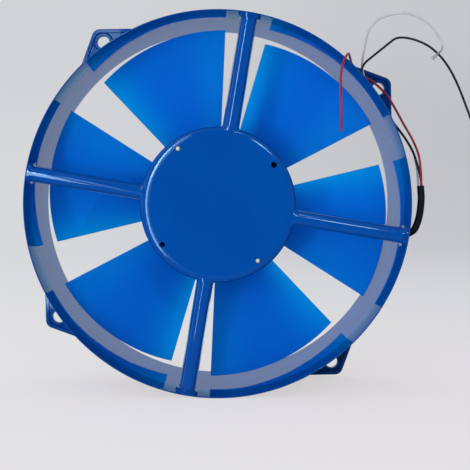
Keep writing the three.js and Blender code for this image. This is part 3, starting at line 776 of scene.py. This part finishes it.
enamel_patch = 30 * mm
enamel_sheen_patch = 14 * mm
orange_peel_size = 2.9 * mm
orange_peel_depth = 0.008 * mm
enamel_wave_size = 11 * mm
enamel_wave_depth = 0.035 * mm
mouth_blend = 1 * mm
enamel, enamel_tree, enamel_shader = blank_material("housing_paint")
enamel_drift = drift_in(enamel_tree, enamel_patch, 4)
enamel_colour = mixed(enamel_tree, enamel_drift, colour(0, 71, 153), colour(1, 76, 160))
# The one enamel is painted in zones by how light falls there. Painted shade makes it darker in the duct's
# mouth and on the ring's outside and ears. Painted light makes it much lighter on the duct's inner wall
# behind the mouth.
enamel_reach = distance_from_axis(enamel_tree)
inside_wall = ranged(enamel_tree, enamel_reach,
                     ring_inner_radius - arm_flare, ring_inner_radius - arm_flare / 2)
outside_wall_painted_shade = ranged(enamel_tree, enamel_reach, ring_radius - ring_wall / 2, ring_radius - ring_wall / 3)
enamel_place = node(enamel_tree, "SeparateXYZ", vector=place_in_fan(enamel_tree))
mouth_end_y = front_y + ring_mouth_depth
past_mouth = ranged(enamel_tree, enamel_place.outputs["Y"],
                    mouth_end_y - mouth_blend, mouth_end_y + mouth_blend)
inner_wall_painted_light = mixed(enamel_tree, past_mouth, colour(0, 63, 142), colour(0, 100, 198))
enamel_colour = mixed(enamel_tree, inside_wall, enamel_colour, inner_wall_painted_light)
enamel_colour = mixed(enamel_tree, outside_wall_painted_shade, enamel_colour, colour(0, 66, 144))
orange_peel = bumped(enamel_tree, noise_at(enamel_tree, orange_peel_size, 2), orange_peel_depth)
enamel_waves = bumped(enamel_tree, noise_at(enamel_tree, enamel_wave_size, 2), enamel_wave_depth, orange_peel)
feed_all(enamel_tree, enamel_shader, base_color=enamel_colour, normal=enamel_waves,
         roughness=drift_in(enamel_tree, enamel_sheen_patch, 4, 0.045, 0.07))
dress(housing, enamel)


# Seat screws
# Two zinc-plated steel screws hold the stator's flange to the motor seat. Their pointed
# thread ends show in two of the seat's four holes; the other two holes stay empty.
seat_screw_radius = 1.35 * mm
seat_screw_pitch = 0.5 * mm
seat_screw_tip_setback = 0.7 * mm
seat_screw_head_setback = 6.6 * mm
seat_screw_tip_y = front_y + seat_screw_tip_setback
seat_screw_head_y = front_y + seat_screw_head_setback
seat_screw_head_radius = 2.6 * mm
seat_screw_head = 2 * mm
screw_thread_depth = 0.16 * mm
screw_tip_share = 0.55
screw_sides = 32
thread_rows_per_turn = 8


def threaded_screw(name, radius, pitch, tip_y, head_y, head_profile):
    """A screw on the axis: helical thread from the tip to the head, then a turned head."""
    steps = math.ceil((head_y - tip_y) / pitch * thread_rows_per_turn)
    points = []
    for i in range(steps + 1):
        y = tip_y + (head_y - tip_y) * i / steps
        taper = min(1, screw_tip_share + (y - tip_y) / radius)
        for k in range(screw_sides):
            angle = full_turn * k / screw_sides
            turn = (y / pitch - k / screw_sides) % 1
            ridge = 1 - abs(2 * turn - 1)
            reach = taper * (radius - screw_thread_depth * (1 - ridge))
            points.append((reach * math.sin(angle), y, reach * math.cos(angle)))
    for reach, y in head_profile:
        for k in range(screw_sides):
            angle = full_turn * k / screw_sides
            points.append((reach * math.sin(angle), y, reach * math.cos(angle)))
    faces = faces_between(len(points) // screw_sides, screw_sides)
    faces.append(tuple(range(screw_sides)))
    faces.append(tuple(range(len(points) - screw_sides, len(points))))
    return closed_object(name, points, faces)


seat_screw_head_profile = [
    (seat_screw_head_radius, seat_screw_head_y),
    (seat_screw_head_radius, seat_screw_head_y + seat_screw_head * 3 / 4),
    (seat_screw_head_radius * 3 / 4, seat_screw_head_y + seat_screw_head),
]
zinced_steel = mottled_material(
    "zinced_steel", colour(214, 218, 196), colour(244, 246, 228),
    patch=1.2 * mm, roughness=(0.32, 0.48), grain=0.25 * mm, grain_depth=0.015 * mm, metallic=0.25)
for node_name, angle in (("seat_screw_top", -eighth_turn), ("seat_screw_bottom", 3 * eighth_turn)):
    seat_screw = threaded_screw(node_name + "_threaded", seat_screw_radius, seat_screw_pitch,
                                seat_screw_tip_y, seat_screw_head_y, seat_screw_head_profile)
    moved_to_circle(seat_screw, seat_hole_circle, angle)
    keep_sharp(seat_screw, 50)
    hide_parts(node_name)
    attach(seat_screw, "housing_and_stator")
    dress(seat_screw, zinced_steel)


# Stator
# A die-cast aluminium carrier with the bearing tube, a core of stamped steel sheets pressed
# on it, two resin end insulators and eight coils of enamelled copper wire.
core_setback = 30 * mm
core_length = 30 * mm
core_front_y = front_y + core_setback
core_middle_y = core_front_y + core_length / 2
sheet_thickness = 0.5 * mm
coil_count = 8
coil_inner_reach = 18.5 * mm
coil_outer_reach = 27.2 * mm
coil_eye_half_width = 3.8 * mm
coil_eye_half_height = 16.65 * mm
coil_build = 3.1 * mm
coil_end_build = 4.9 * mm
coil_corner = 2.6 * mm
coil_inner_corner = coil_build / 8
wire_pitch = 0.54 * mm
wire_bulge = 0.14 * mm


def rounded_corners(half_width, half_height, corner, steps):
    """A rectangle's outline with round corners, from the upper right corner anticlockwise."""
    outline = []
    for i, (x, y) in enumerate(((1, 1), (-1, 1), (-1, -1), (1, -1))):
        centre = (x * (half_width - corner), y * (half_height - corner))
        outline += arc(centre, corner, i * quarter_turn, (i + 1) * quarter_turn, steps)
    return outline


def wound_coil(name, angle):
    """Turns of wire side by side round a tooth, as one body with a rib for each wire."""
    wires = round((coil_outer_reach - coil_inner_reach) / wire_pitch)
    inner = rounded_corners(coil_eye_half_width, coil_eye_half_height, coil_inner_corner, 6)
    outer = rounded_corners(coil_eye_half_width + coil_build, coil_eye_half_height + coil_end_build,
                            coil_corner, 6)
    points = []
    rows = [(coil_inner_reach, 0)]
    for i in range(wires):
        for share in (0, 1 / 4, 1 / 2, 3 / 4):
            reach = coil_inner_reach + (coil_outer_reach - coil_inner_reach) * (i + share) / wires
            rows.append((reach, -wire_bulge * (1 - math.sin(math.pi * share))))
    rows.append((coil_outer_reach, -wire_bulge))
    rows.append((coil_outer_reach, None))
    rows.append((coil_inner_reach, None))
    for reach, sink in rows:
        for (ix, iy), (ox, oy) in zip(inner, outer):
            if sink is None:
                points.append((ix, core_middle_y + iy, reach))
            else:
                away = Vector((ox, oy)).normalized() * sink
                points.append((ox + away.x, core_middle_y + oy + away.y, reach))
    faces = faces_between(len(rows), len(inner), closed=True)
    return turned_about_axis(closed_object(name, points, faces), angle)


winding_copper = mottled_material(
    "winding_copper", colour(128, 52, 22), colour(176, 88, 40),
    patch=3 * mm, roughness=(0.22, 0.36), grain=0.5 * mm, grain_depth=0.02 * mm, metallic=0.75)
for i in range(coil_count):
    coil = wound_coil(f"coil_{i + 1}_wound", quarter_turn + full_turn * i / coil_count)
    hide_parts(f"coil_{i + 1}")
    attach(coil, "housing_and_stator")
    dress(coil, winding_copper)

cast_aluminium = mottled_material(
    "cast_aluminium", colour(150, 153, 158), colour(188, 191, 196),
    patch=6 * mm, roughness=(0.38, 0.55), grain=0.7 * mm, grain_depth=0.05 * mm, metallic=1)
insulator_resin = mottled_material(
    "insulator_resin", colour(214, 208, 190), colour(236, 231, 215),
    patch=8 * mm, roughness=(0.42, 0.55), grain=0.6 * mm, grain_depth=0.02 * mm)
sheet_patch = 5 * mm
sheet_groove = 0.04 * mm
lamination_steel, sheet_tree, sheet_shader = blank_material("lamination_steel")
sheet_drift = drift_in(sheet_tree, sheet_patch, 3)
sheet_edges = node(sheet_tree, "TexWave", vector=place_in_fan(sheet_tree),
                   scale=1 / (math.pi * sheet_thickness))
sheet_edges.bands_direction = "Y"
feed_all(sheet_tree, sheet_shader, metallic=1,
         base_color=mixed(sheet_tree, sheet_drift, colour(96, 98, 102), colour(132, 134, 138)),
         roughness=ranged(sheet_tree, sheet_drift, 0, 1, 0.4, 0.58),
         normal=bumped(sheet_tree, sheet_edges.outputs["Fac"], sheet_groove))
for node_name, finish in (
    ("stator_carrier", cast_aluminium),
    ("stator_core", lamination_steel),
    ("rotor_core", lamination_steel),
    ("insulator_front", insulator_resin),
    ("insulator_rear", insulator_resin),
):
    dress(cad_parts[node_name], finish)


# Bearings and shaft
# Two open ball bearings of polished steel with riveted cages, a ground steel shaft held by
# a spring clip, and a wave washer that presses the rear bearing's outer ring forwards.
bearing_steel = mottled_material(
    "bearing_steel", colour(178, 181, 186), colour(206, 208, 212),
    patch=2 * mm, roughness=(0.14, 0.24), grain=0.2 * mm, grain_depth=0.004 * mm, metallic=1)
for node_name in (
    "front_bearing_outer_ring",
    "rear_bearing_outer_ring",
    "front_bearing_inner_ring",
    "rear_bearing_inner_ring",
    "shaft",
    "shaft_clip",
    "wave_washer",
):
    dress(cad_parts[node_name], bearing_steel)

ball_count = 7
ball_circle = 7.5 * mm
ball_radius = 1.96 * mm
cage_thickness = 0.9 * mm
cage_half_width = 1.3 * mm
cage_edge = 0.15 * mm
cage_sides = 96
ball_sides = 32
front_balls_setback = 10 * mm
front_balls_y = front_y + front_balls_setback
rear_balls_y = -27.5 * mm


def ball_set(name, middle_y):
    """A bearing's balls in their cage, joined to one body."""
    cage_outline = rounded_corners(cage_thickness / 2, cage_half_width, cage_edge, 1)
    cage = turned(name, [(ball_circle + x, middle_y + y) for x, y in cage_outline], cage_sides)
    for i in range(ball_count):
        meridian = arc((0, middle_y), ball_radius, -quarter_turn, quarter_turn, ball_sides // 2)[1:-1]
        poles = [(0, middle_y - ball_radius), (0, middle_y + ball_radius)]
        ball = turned("ball", [poles[0], *meridian, poles[1]], ball_sides)
        cage = combined(cage, moved_to_circle(ball, ball_circle, full_turn * i / ball_count), "UNION")
    keep_sharp(cage, 40)
    return cage


for end, middle_y in (("front", front_balls_y), ("rear", rear_balls_y)):
    balls = ball_set(end + "_bearing_balls_caged", middle_y)
    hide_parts(end + "_bearing_balls")
    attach(balls, end + "_ball_set")
    dress(balls, bearing_steel)


# Rotor can
# A deep-drawn steel can, dipped blue, that turns round the stator. Its rear end has a thick
# boss on the shaft and four holes for the impeller's screws.
can_inner_radius = 37.5 * mm
can_outer_radius = 39 * mm
can_setback = 22.5 * mm
can_front_y = front_y + can_setback
can_end_inner_y = -12.05 * mm
can_rear_y = -10.05 * mm
can_boss_radius = 8 * mm
can_boss_length = 10 * mm
can_boss_front_y = can_end_inner_y - can_boss_length
can_nose_radius = 5.4 * mm
can_nose_length = 1.7 * mm
can_nose_front_y = can_boss_front_y - can_nose_length
can_bore_radius = 4.15 * mm
can_bend = 1.2 * mm
can_lip = 0.4 * mm
can_sides = 144
impeller_screw_count = 4
impeller_screw_circle = 27 * mm
impeller_screw_radius = 1.5 * mm
screw_hole_clearance = 0.3 * mm
screw_hole_sides = 32


def screw_holes_cut(body, from_y, to_y):
    """Cuts the impeller screws' clearance holes through a body."""
    for i in range(impeller_screw_count):
        hole_radius = impeller_screw_radius + screw_hole_clearance
        hole = rod("screw_hole", [(hole_radius, from_y), (hole_radius, to_y)], screw_hole_sides)
        angle = full_turn * (i + 1 / 2) / impeller_screw_count
        body = combined(body, moved_to_circle(hole, impeller_screw_circle, angle), "DIFFERENCE")
    return body


can_profile = [
    (can_bore_radius, can_nose_front_y),
    (can_nose_radius, can_nose_front_y),
    (can_nose_radius, can_boss_front_y),
    (can_boss_radius, can_boss_front_y),
    *arc((can_boss_radius + can_bend, can_end_inner_y - can_bend), can_bend, math.pi, quarter_turn, 6),
    *arc((can_inner_radius - can_bend / 2, can_end_inner_y - can_bend / 2), can_bend / 2, quarter_turn, 0, 6),
    (can_inner_radius, can_front_y + can_lip),
    *arc(((can_inner_radius + can_outer_radius) / 2, can_front_y + can_lip),
         (can_outer_radius - can_inner_radius) / 2, math.pi, full_turn, 8)[1:-1],
    (can_outer_radius, can_front_y + can_lip),
    *arc((can_outer_radius - can_bend, can_rear_y - can_bend), can_bend, 0, quarter_turn, 8),
    (can_bore_radius, can_rear_y),
]
rotor_can = turned("rotor_can_dipped", can_profile, can_sides)
rotor_can = screw_holes_cut(rotor_can, can_end_inner_y - overrun, can_rear_y + overrun)
keep_sharp(rotor_can, 35)
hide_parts("rotor_can")
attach(rotor_can, "rotor")
rotor_paint = mottled_material(
    "rotor_paint", colour(5, 66, 142), colour(12, 82, 164),
    patch=12 * mm, roughness=(0.28, 0.42), grain=1.8 * mm, grain_depth=0.03 * mm)
dress(rotor_can, rotor_paint)


# Impeller
# Moulded blue plastic: a hub that slips over the rotor can, and six twisted blades that
# grow out of it. The blades are thin towards their edges, where light comes through.
hub_radius = 42 * mm
hub_inner_radius = 39.3 * mm
hub_web = 2.2 * mm
hub_web_gap = 0.35 * mm
hub_rear_y = can_rear_y + hub_web_gap + hub_web
hub_sides = 192
hub_web_bore = 16 * mm
hub_edge = 0.8 * mm
hub_rim_edge = 0.5 * mm
blade_count = 6
blade_tip_gap = 4.2 * mm
blade_root_depth = 1.6 * mm
blade_tip_radius = ring_inner_radius - blade_tip_gap
blade_root_radius = hub_radius - blade_root_depth
blade_half_span = math.radians(23)
blade_setback = 51.75 * mm
blade_middle_y = front_y + blade_setback
blade_axial_depth = 32.5 * mm
blade_thickness = 2.2 * mm
blade_edge_thickness = 0.9 * mm
blade_camber = 2.4 * mm
blade_edge_round = 0.45 * mm
blade_fillet = 1.5 * mm
blade_tip_least_share = 0.2
blade_chord_steps = 32
blade_span_steps = 18
blade_edge_share = 1 - blade_edge_round / (blade_half_span * blade_tip_radius)


def blade_shares():
    """Chord shares from -1 at the rear edge to 1 at the front edge, close together at both."""
    edge = [blade_edge_share + (1 - blade_edge_share) * math.sin(quarter_turn * i / 5) for i in range(1, 6)]
    middle = [blade_edge_share * (2 * i / blade_chord_steps - 1) for i in range(blade_chord_steps + 1)]
    return [-share for share in reversed(edge)] + middle + edge


def blade_half_thickness(share, radius):
    """Half the blade's thickness: rounded edges, a full middle and a fillet at the hub."""
    half = (blade_edge_thickness + (blade_thickness - blade_edge_thickness) * (1 - share**2)) / 2
    if abs(share) > blade_edge_share:
        half *= math.sqrt(max(0, 1 - ((abs(share) - blade_edge_share) / (1 - blade_edge_share)) ** 2))
    above_hub = radius - hub_radius
    if above_hub < blade_fillet:
        drop = blade_fillet - max(0, above_hub)
        half += (blade_fillet - math.sqrt(blade_fillet**2 - drop**2)) * (1 - share**8) / 2
    tip_left = blade_tip_radius - radius
    if tip_left < blade_edge_round:
        half *= max(blade_tip_least_share, math.sqrt(max(0, 1 - (1 - tip_left / blade_edge_round) ** 2)))
    return half


def blade_radii():
    """Distances from the axis of a blade's sections, close together at the hub and the tip."""
    radii = [blade_root_radius, hub_radius]
    radii += [hub_radius + blade_fillet * i / 5 for i in range(1, 6)]
    start = radii[-1]
    end = blade_tip_radius - blade_edge_round
    radii += [start + (end - start) * i / blade_span_steps for i in range(1, blade_span_steps + 1)]
    radii += [end + blade_edge_round * math.sin(quarter_turn * i / 4) for i in range(1, 5)]
    return radii


def blade(angle):
    """One blade, a loft of closed sections from the hub out to the tip."""
    shares = blade_shares()
    loops = []
    for radius in blade_radii():
        loop = []
        for side, row in ((-1, shares), (1, shares[-2:0:-1])):
            for share in row:
                turn = share * blade_half_span
                y = blade_middle_y - share * blade_axial_depth / 2 - blade_camber * (1 - share**2)
                y += side * blade_half_thickness(share, radius)
                loop.append((radius * math.sin(turn), y, radius * math.cos(turn)))
        loops.append(loop)
    count = len(loops[0])
    points = [point for loop in loops for point in loop]
    faces = faces_between(len(loops), count)
    for first in (0, (len(loops) - 1) * count):
        faces.append((first, first + 1, first + count - 1))
        for k in range(1, len(shares) - 2):
            faces.append((first + k, first + k + 1, first + count - k - 1, first + count - k))
        last = len(shares) - 1
        faces.append((first + last - 1, first + last, first + last + 1))
    return turned_about_axis(closed_object("blade", points, faces), angle)


hub_profile = [
    (hub_web_bore, hub_rear_y - hub_web),
    (hub_inner_radius, hub_rear_y - hub_web),
    (hub_inner_radius, core_front_y + hub_rim_edge),
    (hub_inner_radius + hub_rim_edge, core_front_y),
    (hub_radius - hub_rim_edge, core_front_y),
    (hub_radius, core_front_y + hub_rim_edge),
    *rows_between((hub_radius, core_front_y + hub_rim_edge),
                  (hub_radius, hub_rear_y - hub_edge), wall_row)[:-1],
    *arc((hub_radius - hub_edge, hub_rear_y - hub_edge), hub_edge, 0, quarter_turn, 8),
    *arc((hub_web_bore + hub_rim_edge, hub_rear_y - hub_rim_edge), hub_rim_edge, quarter_turn, math.pi, 5),
]
impeller = turned("impeller_moulded", hub_profile, hub_sides)
for i in range(blade_count):
    impeller = combined(impeller, blade((i + 1 / 2) * full_turn / blade_count), "UNION")
impeller = screw_holes_cut(impeller, hub_rear_y - hub_web - overrun, hub_rear_y + overrun)
keep_sharp(impeller, 40)
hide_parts("impeller")
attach(impeller, "rotor")


def computed(tree, operation, *values):
    """The outcome of one sum on values or the outputs of nodes."""
    made = tree.nodes.new("ShaderNodeMath")
    made.operation = operation
    for socket, value in zip(made.inputs, values):
        feed(tree, socket, value)
    return made.outputs["Value"]


def blade_share_of(tree):
    """Where a point lies along its blade's chord, from 0 at the rear edge to 1 at the front."""
    place = node(tree, "SeparateXYZ", vector=place_in_fan(tree))
    angle = computed(tree, "ARCTAN2", place.outputs["X"], place.outputs["Z"])
    pitch = full_turn / blade_count
    wrapped = computed(tree, "WRAP", angle, pitch, 0)
    return ranged(tree, wrapped, pitch / 2 - blade_half_span, pitch / 2 + blade_half_span)


def ramp(tree, share, stops):
    """A colour that runs through (share, colour) stops."""
    made = node(tree, "ValToRGB", fac=share)
    made.color_ramp.interpolation = "B_SPLINE"
    elements = made.color_ramp.elements
    for i, (position, tone) in enumerate(stops):
        element = elements[i] if i < 2 else elements.new(position)
        element.position = position
        element.color = tone
    return made.outputs["Color"]


def blended(tree, share, first, second):
    """A shader between two others."""
    blend = node(tree, "MixShader", fac=share)
    tree.links.new(first, blend.inputs[1])
    tree.links.new(second, blend.inputs[2])
    return blend.outputs["Shader"]


plastic_patch = 24 * mm
plastic_sheen_patch = 9 * mm
plastic_grain = 1.1 * mm
plastic_grain_depth = 0.015 * mm
plastic, plastic_tree, plastic_shader = blank_material("impeller_plastic")
blade_share = blade_share_of(plastic_tree)
# The blades' colour is painted lighter towards both edges, most at the rear edge. This painted light stands
# in for light shining through the thin edges, and is added to the real translucency below.
blade_tones_painted_edge_light = ramp(plastic_tree, blade_share, [
    (0, colour(0, 168, 250)),
    (0.18, colour(6, 134, 237)),
    (0.38, colour(8, 119, 231)),
    (0.7, colour(9, 119, 230)),
    (1, colour(4, 146, 237)),
])
plastic_drift = drift_in(plastic_tree, plastic_patch, 3, 0, 0.22)
blade_tones_painted_edge_light = mixed(plastic_tree, plastic_drift, blade_tones_painted_edge_light, colour(10, 115, 234))
feed_all(plastic_tree, plastic_shader, base_color=blade_tones_painted_edge_light, specular_tint=(0.1, 0.5, 1, 1),
         roughness=drift_in(plastic_tree, plastic_sheen_patch, 3, 0.34, 0.46),
         normal=bumped(plastic_tree, noise_at(plastic_tree, plastic_grain, 3), plastic_grain_depth))
let_through = node(plastic_tree, "BsdfTranslucent", color=blade_tones_painted_edge_light)
thinness = ramp(plastic_tree, blade_share, [
    (0, (0.9, 0.9, 0.9, 1)),
    (0.05, (0.8, 0.8, 0.8, 1)),
    (0.25, (0.5, 0.5, 0.5, 1)),
    (0.85, (0.45, 0.45, 0.45, 1)),
    (0.97, (0.6, 0.6, 0.6, 1)),
])
plastic_blend = blended(plastic_tree, thinness, plastic_shader.outputs["BSDF"], let_through.outputs["BSDF"])
plastic_sides = node(plastic_tree, "NewGeometry")
plastic_inside = node(plastic_tree, "BsdfTransparent")
plastic_blend = blended(plastic_tree, plastic_sides.outputs["Backfacing"], plastic_blend,
                        plastic_inside.outputs["BSDF"])
feed_all(plastic_tree, plastic_tree.nodes["Material Output"], surface=plastic_blend)
dress(impeller, plastic)


# Impeller screws
# Four zinc-plated screws with domed heads and cross recesses hold the hub to the can's end.
impeller_screw_pitch = 0.5 * mm
impeller_screw_tip_reach = 0.45 * mm
impeller_screw_tip_y = can_end_inner_y - impeller_screw_tip_reach
impeller_head_gap = 0.3 * mm
impeller_head_y = hub_rear_y + impeller_head_gap
impeller_head_radius = 3 * mm
impeller_head_height = 2.1 * mm
head_rim_share = 1 / 4
dome_steps = 9
cross_length = 3.2 * mm
cross_width = 0.8 * mm
cross_depth = 1.2 * mm
cross_tip_share = 1 / 3


def cross_recess(rear_y):
    """A tapered cross to cut into a screw's head."""
    recess = None
    for across in (0, quarter_turn):
        sections = []
        for y, share in ((rear_y - cross_depth, cross_tip_share), (rear_y + overrun, 1)):
            long = cross_length / 2 * share
            wide = cross_width / 2
            sections.append([(-long, y, -wide), (long, y, -wide), (long, y, wide), (-long, y, wide)])
        bar = turned_about_axis(lofted("cross_bar", sections), across)
        recess = combined(recess, bar, "UNION") if recess else bar
    return recess


for i in range(impeller_screw_count):
    dome = [(impeller_head_radius, impeller_head_y)]
    for step in range(dome_steps - 1):
        rise = quarter_turn * step / dome_steps
        height = impeller_head_height * (head_rim_share + (1 - head_rim_share) * math.sin(rise))
        dome.append((impeller_head_radius * math.cos(rise), impeller_head_y + height))
    screw = threaded_screw(f"impeller_screw_{i + 1}_threaded", impeller_screw_radius, impeller_screw_pitch,
                           impeller_screw_tip_y, impeller_head_y, dome)
    screw = combined(screw, cross_recess(impeller_head_y + impeller_head_height), "DIFFERENCE")
    keep_sharp(screw, 40)
    moved_to_circle(screw, impeller_screw_circle, full_turn * (i + 1 / 2) / impeller_screw_count)
    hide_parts(f"impeller_screw_{i + 1}")
    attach(screw, "rotor")
    dress(screw, zinced_steel)


# Stage
# A pale seamless sweep: its floor, under the ring, starts a little before the fan and curves
# up into the wall behind. Mirrored in the gloss, the paper is dim in front, as in a dark room,
# and bright and bluish beyond the picture's edges.
sweep_half_width = 4
sweep_front = -0.45
sweep_rear = 2
sweep_bend = 0.6
sweep_height = 4
floor_z = -ring_radius
sweep_profile = [(sweep_front, floor_z)]
sweep_profile += arc((sweep_rear - sweep_bend, floor_z + sweep_bend), sweep_bend, -quarter_turn, 0, 24)
sweep_profile.append((sweep_rear, floor_z + sweep_height))
sweep_points = [(x, y, z) for x in (-sweep_half_width, sweep_half_width) for y, z in sweep_profile]
sweep_rows = len(sweep_profile)
sweep_faces = [(i, i + 1, i + 1 + sweep_rows, i + sweep_rows) for i in range(sweep_rows - 1)]
sweep_mesh = bpy.data.meshes.new("sweep")
sweep_mesh.from_pydata(sweep_points, [], sweep_faces)
sweep_mesh.transform(unrolled.to_4x4())
sweep_mesh.shade_smooth()
sweep = placed_object("sweep", sweep_mesh)

paper, paper_tree, paper_shader = blank_material("pale_paper")
paper_patch = 0.5
paper_drift = drift_in(paper_tree, paper_patch, 2)
paper_colour = mixed(paper_tree, paper_drift, colour(240, 240, 241), colour(243, 243, 244))
paper_place = node(paper_tree, "SeparateXYZ", vector=place_in_fan(paper_tree))
paper_path = node(paper_tree, "LightPath")

# In the gloss the paper brightens rearwards along the axis, between these two places.
dim_to_bright = (-1, 0.2)
paper_mirrored = ramp(paper_tree, ranged(paper_tree, paper_place.outputs["Y"], *dim_to_bright), [
    (0, colour(40, 41, 44)),
    (0.5, colour(104, 106, 110)),
    (0.8, colour(122, 124, 128)),
    (0.95, colour(218, 234, 246)),
])
mirrored = paper_path.outputs["Is Glossy Ray"]
feed_all(paper_tree, paper_shader, roughness=0.9,
         base_color=mixed(paper_tree, mirrored, paper_colour, paper_mirrored))

# The bright paper of the gloss lies outside a cone that opens rearwards along the axis.
cone_apex_y = -0.09
cone_apex_radius = 0.1
cone_start = 0.01
bright_slopes = (0.25, 0.34)
bright_from = (0.05, 0.15)
bright_share = 0.8
bright_tint = (0.42, 0.74, 1, 1)
paper_reach = ranged(paper_tree, distance_from_axis(paper_tree), 0, sweep_half_width,
                     cone_apex_radius, cone_apex_radius + sweep_half_width)
paper_depth = ranged(paper_tree, paper_place.outputs["Y"], cone_apex_y + cone_start,
                     cone_apex_y + cone_start + sweep_rear, cone_start, cone_start + sweep_rear)
paper_slope = computed(paper_tree, "DIVIDE", paper_reach, paper_depth)
paper_behind = ranged(paper_tree, paper_place.outputs["Y"], *bright_from)
paper_beyond = ranged(paper_tree, paper_slope, *bright_slopes, 0, bright_share)
paper_beyond = computed(paper_tree, "MULTIPLY", paper_beyond,
                        computed(paper_tree, "MULTIPLY", paper_behind, mirrored))

# What the camera sees is partly light of the paper's own, which falls off up the sweep and to
# the right as in the photograph.
low_to_high = (-0.2, 2.4)
left_to_right = (-0.35, 0.35)
left_share = 0.55
own_light_share = 0.62
paper_run = computed(paper_tree, "ADD", paper_place.outputs["Y"], paper_place.outputs["Z"])
paper_run = ranged(paper_tree, paper_run, *low_to_high)
paper_along = ramp(paper_tree, paper_run, [
    (0, colour(255, 246, 246)),
    (0.25, colour(236, 239, 245)),
    (0.6, colour(217, 218, 224)),
    (0.9, colour(200, 201, 207)),
    (1, colour(215, 215, 218)),
])
paper_left = ramp(paper_tree, paper_run, [
    (0.6, colour(255, 255, 255)),
    (0.78, colour(255, 255, 255)),
    (0.9, colour(240, 240, 243)),
])
paper_across = ranged(paper_tree, paper_place.outputs["X"], *left_to_right, left_share, 0)
paper_bright = mixed(paper_tree, paper_across, paper_along, paper_left)
paper_seen = node(paper_tree, "Emission", color=paper_bright, strength=1)
paper_window = node(paper_tree, "Emission", color=bright_tint, strength=1)
# Seen through the translucent blades, the paper glows plain white. This painted glow lights the blades from
# behind, although there is no lamp there.
paper_glow_through_blades = node(paper_tree, "Emission", strength=1)
paper_blend = paper_shader.outputs["BSDF"]
for share, shader in (
    (computed(paper_tree, "MULTIPLY", paper_path.outputs["Is Camera Ray"], own_light_share), paper_seen),
    (paper_beyond, paper_window),
    (paper_path.outputs["Is Transmission Ray"], paper_glow_through_blades),
):
    paper_blend = blended(paper_tree, share, paper_blend, shader.outputs["Emission"])
feed_all(paper_tree, paper_tree.nodes["Material Output"], surface=paper_blend)
dress(sweep, paper)


# Light
# An even surround, pale behind the fan and dim before it where the gloss mirrors it. Bluish
# soft boxes: a divided one beside the camera on the left, two on the right and one high on
# the left. A white key box further left lights the fan, and the gloss doesn't mirror it.
lamp_distance = 1.3
box_tint = (0.5, 0.82, 1)
key_tint = (1, 1, 1)


def soft_box(name, sideways, upwards, radiance):
    """An area light in the picture's own frame, between two angles each way in degrees."""
    left, right = (lamp_distance * math.tan(math.radians(angle)) for angle in sideways)
    low, high = (lamp_distance * math.tan(math.radians(angle)) for angle in upwards)
    data = bpy.data.lights.new(name, "AREA")
    data.shape = "RECTANGLE"
    data.size = right - left
    data.size_y = high - low
    data.energy = radiance * math.pi * data.size * data.size_y
    data.color = box_tint
    box = placed_object(name, data)
    stand = unrolled @ Vector(((left + right) / 2, front_y - lamp_distance, (low + high) / 2))
    facing = unrolled @ Matrix.Rotation(quarter_turn, 3, "X")
    box.matrix_world = Matrix.Translation(stand) @ facing.to_4x4()
    return box


soft_box("near_box_low", (-9, -7.4), (-12, 4), 2.2)
soft_box("near_box_high", (-9, -7.4), (4, 18), 4.2)
soft_box("far_box_low", (-15, -10.8), (-12, 4), 10)
soft_box("far_box_high", (-15, -10.8), (4, 22), 20)
soft_box("low_right_box", (9.4, 14.2), (12, 18.5), 17)
soft_box("high_right_box", (10, 14), (34, 40), 18)
soft_box("high_left_box", (-24, -16), (30, 38), 11)
key_box = soft_box("key_box", (-24, -18), (-8, 10), 42)
key_box.data.color = key_tint
key_box.visible_glossy = False

world = bpy.data.worlds.new("surround")
world.use_nodes = True
bpy.context.scene.world = world
air = world.node_tree
air_path = node(air, "LightPath")
air_place = node(air, "SeparateXYZ", vector=node(air, "TexCoord").outputs["Generated"])
air_depth = ranged(air, air_place.outputs["Y"], -1, 1)

# Mirrored in the gloss, the surround is black in front inside a faint band, dark at the
# sides, bright and bluish on the left and pale behind.
mirrored_air = ramp(air, air_depth, [
    (0, (0.012, 0.012, 0.014, 1)),
    (0.1, (0.02, 0.021, 0.023, 1)),
    (0.15, (0.3, 0.31, 0.33, 1)),
    (0.2, (0.1, 0.1, 0.11, 1)),
    (0.45, (0.08, 0.08, 0.09, 1)),
    (0.56, (0.5, 0.51, 0.54, 1)),
])
left_air = ramp(air, air_depth, [
    (0.28, (0, 0, 0, 1)),
    (0.36, (0.8, 1.1, 1.3, 1)),
    (0.5, (0.8, 1.1, 1.3, 1)),
    (0.58, (0.5, 0.51, 0.54, 1)),
])
mirrored_left = ranged(air, air_place.outputs["X"], -0.3, -0.7, 0, 0.9)
mirrored_air = mixed(air, mirrored_left, mirrored_air, left_air)
seen_air = mixed(air, air_path.outputs["Is Glossy Ray"], (0.74, 0.74, 0.76, 1), mirrored_air)

# The light that it casts is stronger from the left and from below, and weak from in front.
from_right = ranged(air, air_place.outputs["X"], -0.6, 0.6)
from_below = ranged(air, air_place.outputs["Z"], -0.6, 0.2, 0.6, 0)
from_rear = ranged(air, air_depth, 0.05, 0.1)
side_air = mixed(air, from_right, (0.5, 0.49, 0.49, 1), (0.33, 0.32, 0.32, 1))
side_air = mixed(air, from_below, side_air, (1, 0.98, 0.97, 1))
lit_air = mixed(air, from_rear, (0.3, 0.29, 0.28, 1), side_air)
sharp_paths = computed(air, "ADD", air_path.outputs["Is Camera Ray"], air_path.outputs["Is Glossy Ray"])
seen_paths = computed(air, "MAXIMUM", sharp_paths, air_path.outputs["Is Transmission Ray"])
feed_all(air, air.nodes["Background"], color=mixed(air, seen_paths, lit_air, seen_air))

bpy.context.scene.view_settings.view_transform = "Standard"
